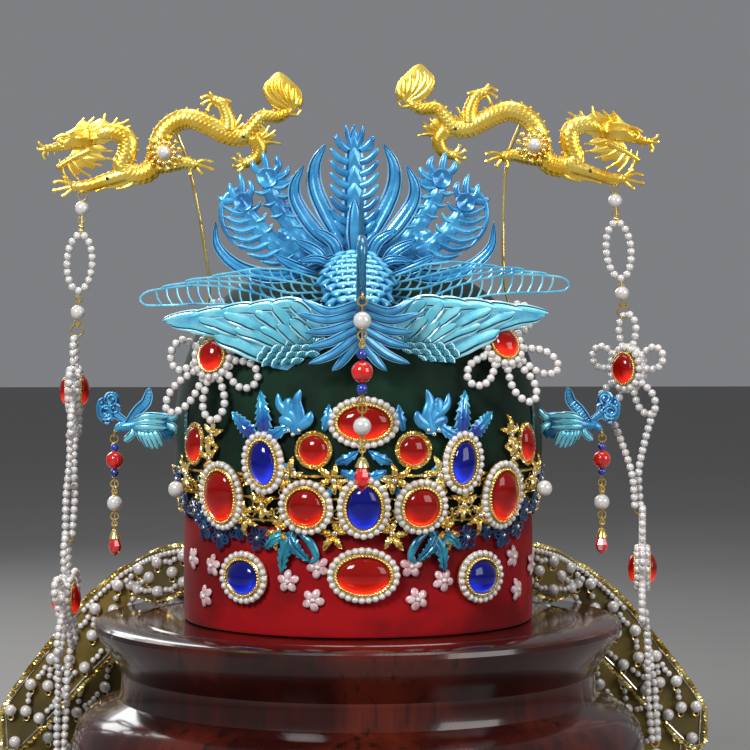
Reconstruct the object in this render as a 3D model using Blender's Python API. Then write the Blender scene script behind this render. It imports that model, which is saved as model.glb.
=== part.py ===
"""Phoenix crown on its turned wooden stand.

A round velvet cap stands on the stand. Jewels sit round its front in rows, over a pierced gold belt,
and three more sit on the red head band. An enamelled phoenix with a fan of tail feathers, two pairs
of wings and a jewelled drop is fixed to the front of the dome. Two gold dragons stand on wires
beside it and hold long strings of beads. The crown faces -Y, and up is +Z.
"""
import math

import bpy
import bmesh
from mathutils import Matrix, Vector

MM = 0.001

# Stand: radius and height of each turned edge in millimetres, from the foot up.
STAND_HEIGHT = 130.0
STAND_PROFILE = [
    (0, 0), (146, 0), (148, 6), (139, 12), (151.5, 38), (152.5, 67), (141, 83), (127, 89), (126, 103),
    (140, 126), (138, 130), (0, 130),
]
STAND_SEGMENTS = 28

# Cap and head band: radius and height above the stand, in millimetres.
CAP_SEGMENTS = 28
CAP_OUTER = [
    (89.6, 0.3), (89.6, 54.8), (94, 57), (98, 84), (97.5, 112), (91, 140), (78, 164), (55, 181),
    (28, 188.5), (0, 190.5),
]
CAP_INNER = [
    (87.6, 0.3), (87.6, 55.6), (95.8, 84), (95.5, 111), (89, 139), (72, 166), (44, 182), (0, 188.4),
]
BAND_INNER, BAND_OUTER, BAND_LOW, BAND_TOP = 90.2, 93.0, 0.3, 55.0

# Belt of gold filigree: its half angle in degrees, cells, heights, lift off the cap, wall and bars.
BELT_HALF_ANGLE, BELT_CELLS = 83.57, 13
BELT_HEIGHTS = (58.0, 70.0, 82.0)
BELT_LIFT, BELT_WALL, BELT_BAR = 0.5, 1.2, 2.4

# Jewels: name, azimuth, height, half width, half height, turn, rim, stone and lift off the cap.
JEWELS = [
    ("top_red", 0, 108.0, 18.0, 13.2, 0, "pearl", "red", -0.3),
    ("round_left", -14.4, 94.3, 9.7, 9.7, 0, "gold", "red", 0.0),
    ("round_right", 14.4, 94.3, 9.7, 9.7, 0, "gold", "red", 0.0),
    ("blue_left", -29.2, 87.5, 12.2, 16.0, 8, "pearl", "blue", 2.4),
    ("blue_right", 29.2, 87.5, 12.2, 16.0, -8, "pearl", "blue", 2.4),
    ("red_left", -16.7, 66.6, 14.3, 14.3, 0, "pearl", "red", 2.4),
    ("red_right", 16.7, 66.6, 14.3, 14.3, 0, "pearl", "red", 2.4),
    ("blue_middle", 0, 66.4, 13.6, 16.2, 0, "pearl", "blue", 1.4),
    ("side_left", -45.2, 70.6, 15.4, 18.2, -14, "pearl", "red", 2.4),
    ("side_right", 45.2, 70.6, 15.4, 18.2, 14, "pearl", "red", 2.4),
    ("far_left", -58.5, 95.0, 9.2, 11.4, -8, "gold", "red", 0.5),
    ("far_right", 58.5, 95.0, 9.2, 11.4, 8, "gold", "red", 0.5),
    ("band_middle", 0, 32.0, 18.4, 14.2, 0, "pearl", "red", 0.4),
    ("band_left", -39.0, 29.0, 15.2, 13.6, 0, "pearl", "blue", 0.4),
    ("band_right", 39.0, 29.0, 15.2, 13.6, 0, "pearl", "blue", 0.4),
]
JEWEL_SEGMENTS = 12
# Rows of a setting: inset from its rim and height off its back.
PEARL_SETTING = [(0.8, 0), (0, 1.8), (1.9, 2.9), (4.2, 0.8)]
GOLD_SETTING = [(0.8, 0), (0, 1.4), (1.0, 2.4), (1.9, 1.0)]
PEARL_STONE_INSET, GOLD_STONE_INSET = 4.4, 1.7
STONE_LOW, STONE_GIRDLE, STONE_RISE = 1.1, 2.2, 0.42

PIN_AZIMUTH, PIN_HEIGHT, PIN_PEARL, PIN_STEM = 64.0, 71.5, 4.2, 1.0

# Leaves: foot (x, y), lean from upright in degrees, length and half width, for the left side.
LEAF_WALL, LEAF_LIFT = 1.4, 1.2
SPRAY_AZIMUTH, SPRAY_HEIGHT = 30.0, 101.0
SPRAY_LEAVES = [
    (0.5, -3, -4, 25, 5.0), (-3, -3, -48, 21, 4.6), (16, 3, -22, 20, 3.4), (17, 3, 10, 21, 3.6),
    (-5, -4, 62, 26, 3.6),
]
LOW_LEAF_AZIMUTH, LOW_LEAF_HEIGHT = 22.0, 50.0
LOW_LEAVES = [(2, 3.5, 200, 22, 4.2), (-2, 3.0, 142, 18, 3.8)]

# Phoenix: its place, its turn about Z and the roll of each pair of wings, in degrees.
PHOENIX_AT = (-3.0, -78.0, 174.0)
PHOENIX_TURN, FRONT_ROLL, NET_ROLL = 1.5, -1.0, -2.0
# Body, from the tail's root down to the chest: place, half width and half depth.
BODY_ROWS = [
    (0, 12, 14, 11, 5.5), (0, 0, 4, 18, 7.2), (0, -12, -8, 15.5, 6.6), (0, -20, -22, 10, 7.0), (0, -20, -33, 4.5, 4.5),
]
NECK = [(0, -19, -20), (0, -31, -20), (0, -40, -8), (0, -43, 6), (0, -44, 19)]
BEAK = [(0, -47, 22), (0, -53, 18), (0, -53.5, 6), (0, -50.5, -3.4)]
# Chest feathers: root, middle and tip of each on the right side.
CHEST = [
    ((5, -12, -4), (18, -15, -9), (28, -14, -4)), ((5, -15, -10), (18, -19, -16), (29, -18, -14)),
    ((5, -19, -17), (14, -23, -24), (25, -21, -26)),
    ((4, -22, -24), (12, -26, -33), (26, -23, -37)), ((2, -22, -28), (8, -26, -37), (15, -24, -41)),
]
POST_RADIUS, POST_END = 3.0, (0, 6.6, -4.9)
# Wings: x, y, upper and lower edge of each station, from the shoulder out.
FRONT_WING = [
    (16.8, -11.5, -11, -28), (24, -11, -5, -36), (33, -10.5, -6, -40), (42, -9, -7, -38.5), (50, -7, -8.3, -34),
    (60, -4, -9, -27.5), (72, 0, -10, -22), (84, 3, -12, -17.8), (95, 5, -13, -16),
]
FRONT_LEAN, FRONT_WALL = 0.17, 1.6
NET_WING = [
    (17.4, 2.5, 5, -7), (34, 2, 11, -13), (50, 2.5, 12, -9), (65, 4, 10, -5.5), (80, 6, 8.4, -4.5),
    (95, 8, 5.2, -5.0), (109, 9, 1.4, -4.2),
]
NET_WALL, NET_BAR = 1.0, 0.8
TAIL_AT = (0, 20, 0)
# Smooth blades of the fan on the right side: half width, then the points of its middle line.
FAN_BLADES = [
    (4.8, ((3, 0, 18), (11, 1, 32), (19.5, 1, 50), (20, 0, 63), (14.5, -2, 74))),
    (4.4, ((4, -1, 18), (18, -2, 28), (28.5, -2, 42), (30.5, -3, 52), (26, -5, 63))),
    (4.2, ((5, -2, 18), (35, -3, 7), (56, -3, 10), (69, -4, 21), (70.5, -5, 34.5))),
    (4.4, ((4, -3, 16), (18, -5, 22), (28, -7, 33))),
    (4.2, ((4, -3, 16), (28, -5, 15), (43, -7, 22))),
]
# Broad lobed feather on the right side: its outline, and the centres of its four slots.
LOBE = [
    (5, 19), (18, 25), (25, 36), (28, 56), (32, 69), (36, 61), (40, 71), (43, 60), (48, 67), (50, 56), (58, 61),
    (54, 50), (65, 53), (57, 43), (69, 44), (59, 35), (66, 31), (50, 22), (28, 14), (5, 15),
]
LOBE_SLOTS = [(44, 46), (45, 38), (41, 31), (35, 24)]

# Dragons, facing left: place of each one's bead flower, then the rows of its spine.
DRAGON_AT = {"left": (-102.0, -14.0, 245.5), "right": (92.0, -14.0, 250.0)}
DRAGON_SPINE = [
    (-34.6, 10.1, 4.0), (-25, 11.8, 4.2), (-20.5, 5.4, 4.3), (-18.9, -3.5, 4.4), (-13.5, -10.8, 4.5), (-6, -4.5, 4.6),
    (-2.5, 5, 4.7), (5.5, 14.5, 4.8), (15.5, 18.1, 4.8), (24, 14.5, 4.6), (32, 10, 4.4), (41.5, 8.6, 4.0),
    (46.5, 14.5, 3.6), (52.5, 20.4, 3.0), (63, 21, 2.6), (67.6, 25.5, 2.0),
]
DRAGON_DEPTH = 3.2
DRAGON_LEGS = [
    ((-16, -8), (-34, -16), (-49, -17)), ((-5, -8), (6, -6), (15, -7)),
    ((34, 11), (36, 22), (30, 31)), ((46, 8), (49, -1), (43, -8)),
]
DRAGON_PAWS = [(-49, -17, 190), (15, -7, -5), (30, 31, 165), (43, -8, 205)]
DRAGON_HEAD = [(-33, 10, 4.4, 3.4), (-43, 10, 7.0, 4.4), (-51, 7.5, 6.0, 4.2), (-59, 4.5, 3.2, 3.2), (-65, 4.5, 2.2, 2.4)]
DRAGON_JAW = [(-44, 4), (-50, -2), (-56, -7)]
DRAGON_MANE = [
    (-54, 10), (-46, 13), (-46, 21), (-41, 15), (-36, 22), (-34, 14), (-24, 19), (-28, 10), (-18, 12), (-26, 4), (-40, 4),
]
DRAGON_BEARD = [(-46, 3), (-50, -3), (-46, -12), (-43, -6), (-36, -8), (-38, -3), (-28, -3), (-36, 3)]
DRAGON_PLUME = [(66, 22), (71, 27), (71, 33), (66, 37), (60, 43), (58, 38), (52.5, 36), (57, 30), (61, 24)]
DRAGON_EYELET = (-43, 0, -19.6)
PIN_FEET = {"left": (-83.5, -14, 154), "right": (83.5, -14, 154)}
PIN_BENDS = {"left": (-79.0, -10, 178), "right": (77.0, -10, 182)}
PIN_HOLD = [(14, -12), (5, 15.5)]

# Strings: reading down each, in millimetres below its ring.
STRINGS = {
    "left": {"at": (-145.0, -14.0, 223.2), "drift": -13.0, "loop": 35.0, "pearl": 61.0,
             "flowers": ((102.0, 29.0, 88.0), (211.6, 34.0, 82.0))},
    "right": {"at": (135.0, -14.0, 227.7), "drift": 23.0, "loop": 32.7, "pearl": 55.4,
              "flowers": ((95.0, 30.0, -46.0), (201.0, 33.5, 82.0))},
}
STRING_END = 300.0
BEAD, BIG_BEAD, WIRE = 2.1, 3.8, 0.5
# Drops: space above, radius and half height of each bead.
BEAK_DROP = [
    (2.5, 4.4, 4.4), (15.0, 5.4, 5.2), (16.5, 4.4, 4.4), (10.5, 3.9, 8.2),
]
BIRD_DROP = [(4.5, 4.7, 4.5), (14.0, 4.1, 4.1), (9.8, 3.4, 6.7)]

# Flowers of bead loops on the cap: azimuth, height and the petals' angle, reach and half width.
CAP_FLOWERS = {
    "left": (-47.3, 137.6, ((96, 30, 7.5), (182, 26, 9.4), (235, 38, 7.8), (280, 34, 7.8), (338, 29, 8.2))),
    "right": (45.4, 140.6, ((40, 30, 8.2), (98, 28, 7.5), (212, 31, 7.8), (277, 34, 8), (325, 33, 8.2))),
}
FLOWER_HEART = (7.6, 8.8)
CAP_FLOWER_LIFT, CAP_FLOWER_TURN = 10.0, 22.0

# Side birds: body rows (x, z, half height, half depth), and outlines in the XZ plane, for the right side.
BIRD_HEIGHT, BIRD_BACK = 102.0, -18.0
BIRD_BODY = [
    (0, 0.4, 6.3, 1.2), (8, 0.6, 7.0, 4.2), (17, 1.0, 5.8, 4.2), (23.5, 0.6, 3.2, 3.0), (28.5, 0.2, 2.2, 2.2),
    (31.8, -2.0, 1.1, 1.1),
]
BIRD_SKIRT = [
    (2, 2), (20, 2), (22, -2.2), (26.4, -7), (20.5, -5.5), (16.5, -5), (13.8, -10), (10.7, -11), (7.6, -10), (4.5, -6),
]
BIRD_CREST = [
    (22, 1), (27.5, 1.8), (32.4, 3.6), (35.5, 1.7), (39.2, 3), (41.1, 7.3), (40.5, 12.3), (37.1, 14.8), (35.5, 18.2),
    (32.4, 18.5), (29, 16), (29.4, 10.4), (28.6, 7.6), (24, 4),
]
BIRD_WING = [(24, 0, 2.5), (18.2, -1, 10), (14.5, -1, 14.5), (13.5, -1, 20)]
BIRD_EYELET = (31.8, 0, -3.4)

# Back wings: x, y, upper and lower edge of each station, from the cap out and down, on the right side.
BACK_WINGS = {
    "upper": [
        (86.4, 34.4, 36, 14), (108, 48, 31, 3), (124, 67, 21, 2.5), (132, 68, 17, -24), (152, 68, 0, -46),
        (174, 66, -27, -70), (190, 66, -48, -84), (198, 66, -62, -80),
    ],
    "lower": [
        (68.6, 62.7, 34, 8), (84, 82, 28, 3), (98, 102, 16, 2.5), (110, 106, 6, -34), (134, 108, -22, -70),
        (162, 108, -44, -96), (184, 106, -68, -106), (194, 104, -84, -102),
    ],
}
BACK_WING_WALL = 2.0


def material(name, colour, roughness, metallic):
    """A plain Principled material of one colour."""
    made = bpy.data.materials.new(name)
    made.use_nodes = True
    shader = made.node_tree.nodes["Principled BSDF"]
    shader.inputs["Base Color"].default_value = (*colour, 1.0)
    shader.inputs["Roughness"].default_value = roughness
    shader.inputs["Metallic"].default_value = metallic
    return made


def make_materials():
    """The materials of the crown, by plain name."""
    return {
        "wood": material("rosewood", (0.11, 0.022, 0.012), 0.25, 0.0),
        "green": material("green_velvet", (0.006, 0.035, 0.016), 0.9, 0.0),
        "scarlet": material("red_velvet", (0.42, 0.008, 0.012), 0.85, 0.0),
        "gold": material("gold", (0.95, 0.68, 0.16), 0.3, 1.0),
        "cloth": material("gold_cloth", (0.19, 0.14, 0.03), 0.7, 0.2),
        "enamel": material("blue_enamel", (0.06, 0.42, 0.78), 0.3, 0.6),
        "pearl": material("pearl", (0.86, 0.83, 0.78), 0.25, 0.0),
        "red": material("red_glass", (0.6, 0.01, 0.01), 0.05, 0.0),
        "blue": material("blue_glass", (0.01, 0.02, 0.5), 0.05, 0.0),
    }


def add_object(name, bm, finish, parent=None, place=None):
    """Turns a bmesh in millimetres into a named object with its material."""
    bmesh.ops.scale(bm, vec=(MM, MM, MM), verts=bm.verts[:])
    mesh = bpy.data.meshes.new(name)
    bm.to_mesh(mesh)
    bm.free()
    mesh.materials.append(finish)
    mesh.shade_smooth()
    mesh.set_sharp_from_angle(angle=math.radians(40))
    obj = bpy.data.objects.new(name, mesh)
    bpy.context.scene.collection.objects.link(obj)
    obj.parent = parent
    if place is not None:
        obj.matrix_local = place
    return obj


def add_empty(name, place, parent=None):
    """An empty that carries other pieces."""
    empty = bpy.data.objects.new(name, None)
    bpy.context.scene.collection.objects.link(empty)
    empty.parent = parent
    empty.matrix_local = place
    return empty


def shift(x, y, z):
    """Move by millimetres, for an object's own place."""
    return Matrix.Translation(Vector((x, y, z)) * MM)


def ellipse(wide, tall, height, segments, middle=(0, 0)):
    """Points of an oval ring at a height."""
    angles = (math.tau * (k + 0.5) / segments for k in range(segments))
    return [(middle[0] + wide * math.cos(a), middle[1] + tall * math.sin(a), height) for a in angles]


def loft(rings, closed=False, first_pole=None, last_pole=None):
    """A closed solid through rings of the same count, ended by flat faces or by poles."""
    bm = bmesh.new()
    rows = [[bm.verts.new(p) for p in ring] for ring in rings]
    for low, high in zip(rows, rows[1:] + (rows[:1] if closed else [])):
        for i in range(len(low)):
            k = (i + 1) % len(low)
            bm.faces.new((low[i], low[k], high[k], high[i]))
    if not closed:
        for row, pole in ((rows[0], first_pole), (rows[-1], last_pole)):
            if pole is None:
                bm.faces.new(row)
                continue
            tip = bm.verts.new(pole)
            for i in range(len(row)):
                bm.faces.new((row[i], row[(i + 1) % len(row)], tip))
    bmesh.ops.recalc_face_normals(bm, faces=bm.faces[:])
    return bm


def turned(profile, segments):
    """A solid turned about Z from (radius, height) rows, whose first or last row may be a pole."""
    rings = [ellipse(r, r, z, segments) for r, z in profile if r > 0]
    poles = [(0, 0, row[1]) if row[0] == 0 else None for row in (profile[0], profile[-1])]
    return loft(rings, False, *poles)


def swept(points, sizes, sides, flat=(0, 1, 0), closed=False):
    """A tube along points. A size is (across, along flat), one for all points or one for each."""
    path = [Vector(p) for p in points]
    sizes = sizes if isinstance(sizes, list) else [sizes] * len(path)
    flat = Vector(flat)
    rings = []
    for i, here in enumerate(path):
        before = path[i - 1] if closed or i else here
        after = path[(i + 1) % len(path)] if closed or i < len(path) - 1 else here
        along = (after - before).normalized()
        deep = (flat - along * flat.dot(along)).normalized()
        across = along.cross(deep)
        rings.append([here + across * x + deep * y for x, y, _ in ellipse(*sizes[i], 0, sides)])
    return loft(rings, closed)


def smooth_path(points, between=2):
    """A smooth curve through points of any dimension, with some points added between each pair."""
    points = [Vector(p) for p in points]
    ends = [2 * points[0] - points[1], *points, 2 * points[-1] - points[-2]]
    made = []
    for p0, p1, p2, p3 in zip(ends, ends[1:], ends[2:], ends[3:]):
        for t in (k / between for k in range(between)):
            linear, square, cube = p2 - p0, 2 * p0 - 5 * p1 + 4 * p2 - p3, 3 * p1 - p0 - 3 * p2 + p3
            made.append(0.5 * (2 * p1 + linear * t + square * t ** 2 + cube * t ** 3))
    return [tuple(p) for p in made] + [tuple(points[-1])]


def blade(points, width, thick):
    """A pointed feather through points, widest past its middle."""
    last = len(points) - 1
    shares = [0.55 + 0.45 * min(2.2 * i / last, 1.0) if i < last else 0.22 for i in range(last + 1)]
    return swept(points, [(width * share, thick * max(share, 0.4)) for share in shares], 4)


def plate(outline, thickness, holes=(), y=0.0):
    """A flat plate in the XZ plane with the given outline and holes, centred on y."""
    bm = bmesh.new()
    edges = []
    for points in (outline, *holes):
        verts = [bm.verts.new((x, y - thickness / 2, z)) for x, z in points]
        edges += [bm.edges.new((verts[i - 1], verts[i])) for i in range(len(verts))]
    bmesh.ops.triangle_fill(bm, edges=edges, use_beauty=True)
    made = bmesh.ops.extrude_face_region(bm, geom=bm.faces[:])
    front = [v for v in made["geom"] if isinstance(v, bmesh.types.BMVert)]
    bmesh.ops.translate(bm, verts=front, vec=(0, thickness, 0))
    bmesh.ops.recalc_face_normals(bm, faces=bm.faces[:])
    return bm


def sphere(radius, at=(0, 0, 0), segments=10, rows=4):
    """A round bead with its poles up and down."""
    angles = [math.pi * k / rows for k in range(1, rows)]
    profile = [(0, -radius)] + [(radius * math.sin(a), -radius * math.cos(a)) for a in angles] + [(0, radius)]
    return moved(turned(profile, segments), Matrix.Translation(at))


def wire_ring(radius, at=(0, 0, 0), facing="y"):
    """A closed ring of wire whose hole faces along y or x."""
    ring = ellipse(radius, radius, 0, 10)
    if facing == "y":
        points, flat = [Vector(at) + Vector((a, 0, b)) for a, b, _ in ring], (0, 1, 0)
    else:
        points, flat = [Vector(at) + Vector((0, a, b)) for a, b, _ in ring], (1, 0, 0)
    return swept(points, (WIRE, WIRE), 5, flat, closed=True)


def moved(bm, matrix):
    """The bmesh after a transform, turned right side out again if that mirrored it."""
    bmesh.ops.transform(bm, matrix=matrix, verts=bm.verts[:])
    if matrix.determinant() < 0:
        bmesh.ops.reverse_faces(bm, faces=bm.faces[:])
    return bm


def mirrored(bm):
    """The bmesh mirrored across X."""
    return moved(bm, Matrix.Scale(-1, 4, (1, 0, 0)))


def fused(parts):
    """One closed body from closed shapes that overlap, by an exact union."""
    shapes = []
    for bm in parts:
        mesh = bpy.data.meshes.new("shape")
        bm.to_mesh(mesh)
        bm.free()
        shapes.append(bpy.data.objects.new("shape", mesh))
    group = bpy.data.collections.new("shapes")
    bpy.context.scene.collection.children.link(group)
    bpy.context.scene.collection.objects.link(shapes[0])
    for shape in shapes[1:]:
        group.objects.link(shape)
    union = shapes[0].modifiers.new("union", "BOOLEAN")
    union.operation = "UNION"
    union.operand_type = "COLLECTION"
    union.collection = group
    bpy.context.view_layer.update()
    graph = bpy.context.evaluated_depsgraph_get()
    bm = bmesh.new()
    bm.from_mesh(bpy.data.meshes.new_from_object(shapes[0].evaluated_get(graph)))
    bmesh.ops.remove_doubles(bm, verts=bm.verts[:], dist=0.02)
    bmesh.ops.dissolve_degenerate(bm, dist=0.01, edges=bm.edges[:])
    for shape in shapes:
        bpy.data.objects.remove(shape, do_unlink=True)
    bpy.data.collections.remove(group)
    return bm


def cap_at(height):
    """Radius of the cap's outside at a height, and its lean inwards there in degrees."""
    for (r0, z0), (r1, z1) in zip(CAP_OUTER, CAP_OUTER[1:]):
        if z0 <= height <= z1:
            share = (height - z0) / (z1 - z0)
            return r0 + (r1 - r0) * share, math.degrees(math.atan2(r0 - r1, z1 - z0))
    return 0.0, 90.0


def seat(azimuth, height, radius, lean=0.0, turn=0.0, lift=0.0):
    """Place of a piece on the cap: its Z points out of the cap and its Y up along it."""
    a = math.radians(azimuth)
    out, right = Vector((math.sin(a), -math.cos(a), 0)), Vector((math.cos(a), math.sin(a), 0))
    frame = Matrix((right, Vector((0, 0, 1)), out)).transposed().to_4x4()
    tilt = Matrix.Rotation(math.radians(-lean), 4, "X") @ Matrix.Rotation(math.radians(turn), 4, "Z")
    return Matrix.Translation((out * radius + Vector((0, 0, height))) * MM) @ frame @ tilt @ shift(0, 0, lift)


def facing_front():
    """Turns a piece made about Z so that its Z faces the viewer."""
    return Matrix.Rotation(math.radians(90), 4, "X")


def build_stand(finish):
    """The turned wooden stand."""
    add_object("stand", turned(STAND_PROFILE, STAND_SEGMENTS), finish["wood"])


def build_cap(finish, crown):
    """The hollow velvet cap, open below, and the red band round its foot."""
    wall = CAP_OUTER[::-1] + CAP_INNER
    add_object("cap_shell", turned(wall, CAP_SEGMENTS), finish["green"], crown)
    rows = [(BAND_INNER, BAND_LOW), (BAND_OUTER, BAND_LOW), (BAND_OUTER, BAND_TOP), (BAND_INNER, BAND_TOP)]
    band = loft([ellipse(r, r, z, CAP_SEGMENTS) for r, z in rows], closed=True)
    add_object("head_band", band, finish["scarlet"], crown)


def sheet(grid, wall, bar=0.0):
    """A curved wall over a grid of points, pierced in every cell if a width of bar is given."""
    bm = bmesh.new()
    verts = [[bm.verts.new(p) for p in column] for column in grid]
    for left, right in zip(verts, verts[1:]):
        for k in range(len(left) - 1):
            bm.faces.new((left[k], right[k], right[k + 1], left[k + 1]))
    if bar:
        bm.normal_update()
        cells = bm.faces[:]
        bmesh.ops.inset_individual(bm, faces=cells, thickness=bar, depth=0)
        bmesh.ops.delete(bm, geom=cells, context="FACES")
    bm.normal_update()
    bmesh.ops.solidify(bm, geom=bm.faces[:], thickness=wall)
    bmesh.ops.recalc_face_normals(bm, faces=bm.faces[:])
    return bm


def stations(rows, cells, lean=0.0):
    """Grid of points between the upper and lower edges of (x, y, upper, lower) stations."""
    return [
        [(x, y + lean * (low - high) * k / cells, high + (low - high) * k / cells) for k in range(cells + 1)]
        for x, y, high, low in rows
    ]


def build_belt(finish, crown):
    """The pierced gold belt that follows the cap behind the jewels."""
    grid = []
    for i in range(BELT_CELLS + 1):
        a = math.radians(BELT_HALF_ANGLE * (2 * i / BELT_CELLS - 1))
        radii = [cap_at(z)[0] + BELT_LIFT + BELT_WALL for z in BELT_HEIGHTS]
        grid.append([(r * math.sin(a), -r * math.cos(a), z) for r, z in zip(radii, BELT_HEIGHTS)])
    add_object("gold_belt", sheet(grid, BELT_WALL, BELT_BAR), finish["gold"], crown)


def setting(rows, wide, tall):
    """A turned oval setting: a base, a rim for pearls and a cup."""
    return loft([ellipse(wide - inset, tall - inset, z, JEWEL_SEGMENTS) for inset, z in rows])


def stone(wide, tall, low):
    """A cabochon with a flat back and a short girdle."""
    rise = STONE_RISE * min(wide, tall)
    rows = [(1.0, low), (1.0, STONE_GIRDLE), (0.72, STONE_GIRDLE + 0.7 * rise)]
    rings = [ellipse(wide * share, tall * share, z, JEWEL_SEGMENTS) for share, z in rows]
    return loft(rings, last_pole=(0, 0, STONE_GIRDLE + rise))


def build_jewels(finish, crown):
    """Each jewel on the cap or the band: pearl-rimmed ones have a loose stone, gold-rimmed ones are one body."""
    for name, azimuth, height, wide, tall, turn, rim, glass, lift in JEWELS:
        radius, lean = (BAND_OUTER, 0.0) if height < BAND_TOP else cap_at(height)
        place = seat(azimuth, height, radius, lean, turn, lift)
        if rim == "pearl":
            add_object(f"{name}_setting", setting(PEARL_SETTING, wide, tall), finish["pearl"], crown, place)
            cut = stone(wide - PEARL_STONE_INSET, tall - PEARL_STONE_INSET, STONE_LOW)
            add_object(f"{name}_stone", cut, finish[glass], crown, place)
        else:
            cut = stone(wide - GOLD_STONE_INSET, tall - GOLD_STONE_INSET, STONE_LOW - 0.6)
            add_object(f"{name}_jewel", fused([setting(GOLD_SETTING, wide, tall), cut]), finish[glass], crown, place)


def build_side_pins(finish, crown):
    """The pearl heads of the two pins at the sides."""
    head = PIN_STEM + PIN_PEARL + 2.4
    bead = [(PIN_PEARL * math.sin(a), head - PIN_PEARL * math.cos(a)) for a in map(math.radians, (30, 80, 130))]
    profile = [(PIN_STEM, 0.3), (PIN_STEM, bead[0][1] - 0.2), *bead, (0, head + PIN_PEARL)]
    for side, sign in (("left", -1), ("right", 1)):
        place = seat(sign * PIN_AZIMUTH, PIN_HEIGHT, cap_at(PIN_HEIGHT)[0] + BELT_LIFT + BELT_WALL)
        add_object(f"side_pin_{side}", turned(profile, 10), finish["pearl"], crown, place)


def leaf(x, y, lean, length, half_width):
    """A pointed leaf in the XZ plane, standing on its foot."""
    a = math.radians(lean)
    up, side = Vector((math.sin(a), math.cos(a))), Vector((math.cos(a), -math.sin(a)))
    shares = ((0.0, -0.3), (0.35, -1.0), (1.0, 0.0), (0.35, 1.0), (0.0, 0.3))
    return plate([tuple(Vector((x, y)) + up * length * t + side * half_width * w) for t, w in shares], LEAF_WALL)


def build_leaves(finish, crown):
    """The enamel sprays: leaves and a forked cloud above the jewels, and smaller leaves on the band."""
    groups = (
        ("leaf_spray", SPRAY_LEAVES, SPRAY_AZIMUTH, SPRAY_HEIGHT, cap_at(SPRAY_HEIGHT)[0]),
        ("low_leaf", LOW_LEAVES, LOW_LEAF_AZIMUTH, LOW_LEAF_HEIGHT, BAND_OUTER),
    )
    for name, leaves, azimuth, height, radius in groups:
        for side, sign in (("left", -1), ("right", 1)):
            flat = moved(fused([leaf(*row) for row in leaves]), Matrix.Rotation(math.radians(-90), 4, "X"))
            if sign > 0:
                flat = mirrored(flat)
            place = seat(sign * azimuth, height, radius + LEAF_LIFT)
            add_object(f"{name}_{side}", bent_round(flat, radius + LEAF_LIFT), finish["enamel"], crown, place)


def bent_round(bm, radius):
    """Bends a piece that lies in its seat's XY plane round an upright cylinder."""
    for vert in bm.verts:
        depth, angle = radius + vert.co.z, vert.co.x / radius
        vert.co.x = depth * math.sin(angle)
        vert.co.z = depth * math.cos(angle) - radius
    return bm


def build_wings(finish, phoenix):
    """The solid front wings and, behind them, the pierced outer wings."""
    front_seat = add_empty("front_wing_seat", Matrix.Rotation(math.radians(FRONT_ROLL), 4, "Y"), phoenix)
    net_seat = add_empty("net_wing_seat", Matrix.Rotation(math.radians(NET_ROLL), 4, "Y"), phoenix)
    for side, sign in (("left", -1), ("right", 1)):
        front = sheet(stations(FRONT_WING, 2, FRONT_LEAN), FRONT_WALL)
        net = sheet(stations(NET_WING, 2), NET_WALL, NET_BAR)
        if sign < 0:
            front, net = mirrored(front), mirrored(net)
        add_object(f"front_wing_{side}", front, finish["enamel"], front_seat)
        add_object(f"net_wing_{side}", net, finish["enamel"], net_seat)


def middle_feather():
    """Outline of the upright middle feather, with hooked barbs on both sides and a crown of barbs."""
    right = [(3.5, 14)]
    for z in (30, 40, 50, 60):
        right += [(4.6, z), (13 if z > 30 else 10, z + 7), (4.6, z + 5)]
    right += [(4.6, 70), (10.5, 81), (3.4, 76)]
    return right + [(0, 84)] + [(-x, z) for x, z in right[::-1]]


def build_tail(finish, phoenix):
    """The fan of tail feathers, soldered to one root that starts where the body ends."""
    root = swept([(0, -7.3, 14.6), (0, -1, 19), (0, 0, 27)], [(10.5, 4.6), (11, 4), (6, 2.4)], 8)
    parts = [root, plate(middle_feather(), 1.6, y=1), blade([(0, -3, 18), (0, -5, 30), (0, -4, 42)], 3.8, 1.2)]
    slots = [[(x - 1.8, z), (x, z + 2.4), (x + 1.8, z), (x, z - 2.4)] for x, z in LOBE_SLOTS]
    parts += [plate(LOBE, 1.4, slots, y=-0.6), mirrored(plate(LOBE, 1.4, slots, y=-0.6))]
    for width, path in FAN_BLADES:
        parts += [blade(path, width, 1.1), mirrored(blade(path, width, 1.1))]
    add_object("phoenix_tail", fused(parts), finish["enamel"], phoenix, shift(*TAIL_AT))


def build_body(finish, phoenix):
    """The phoenix's body, neck, head, crest and chest feathers, on a short post from the cap."""
    body = swept([row[:3] for row in BODY_ROWS], [row[3:] for row in BODY_ROWS], 10, flat=(0, -0.64, 0.77))
    neck = swept(NECK, [(4.5, 3.0), (4.5, 2.8), (4.2, 2.6), (4.6, 2.8), (4.0, 2.6)], 6, flat=(1, 0, 0))
    beak = swept(BEAK, [(4.2, 2.6), (2.4, 1.8), (1.6, 1.3), (0.9, 0.9)], 6, flat=(1, 0, 0))
    parts = [body, neck, beak, moved(sphere(1.0), Matrix.Translation((0, -45, 22)) @ Matrix.Diagonal((3.4, 6.5, 5, 1)))]
    crest = [(-41, 23), (-36, 30), (-33, 41), (-39, 37), (-42, 45), (-45, 36), (-50, 40), (-49, 24)]
    parts.append(moved(plate(crest, 2.2), Matrix.Rotation(math.radians(90), 4, "Z")))
    for points in CHEST:
        parts += [blade(points, 2.6, 1.1), mirrored(blade(points, 2.6, 1.1))]
    parts.append(wire_ring(1.8, at=BEAK[-1], facing="x"))
    parts.append(swept([(0, 0, 4), POST_END], (POST_RADIUS, POST_RADIUS), 8, flat=(1, 0, 0)))
    add_object("phoenix_body", fused(parts), finish["enamel"], phoenix)


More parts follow.
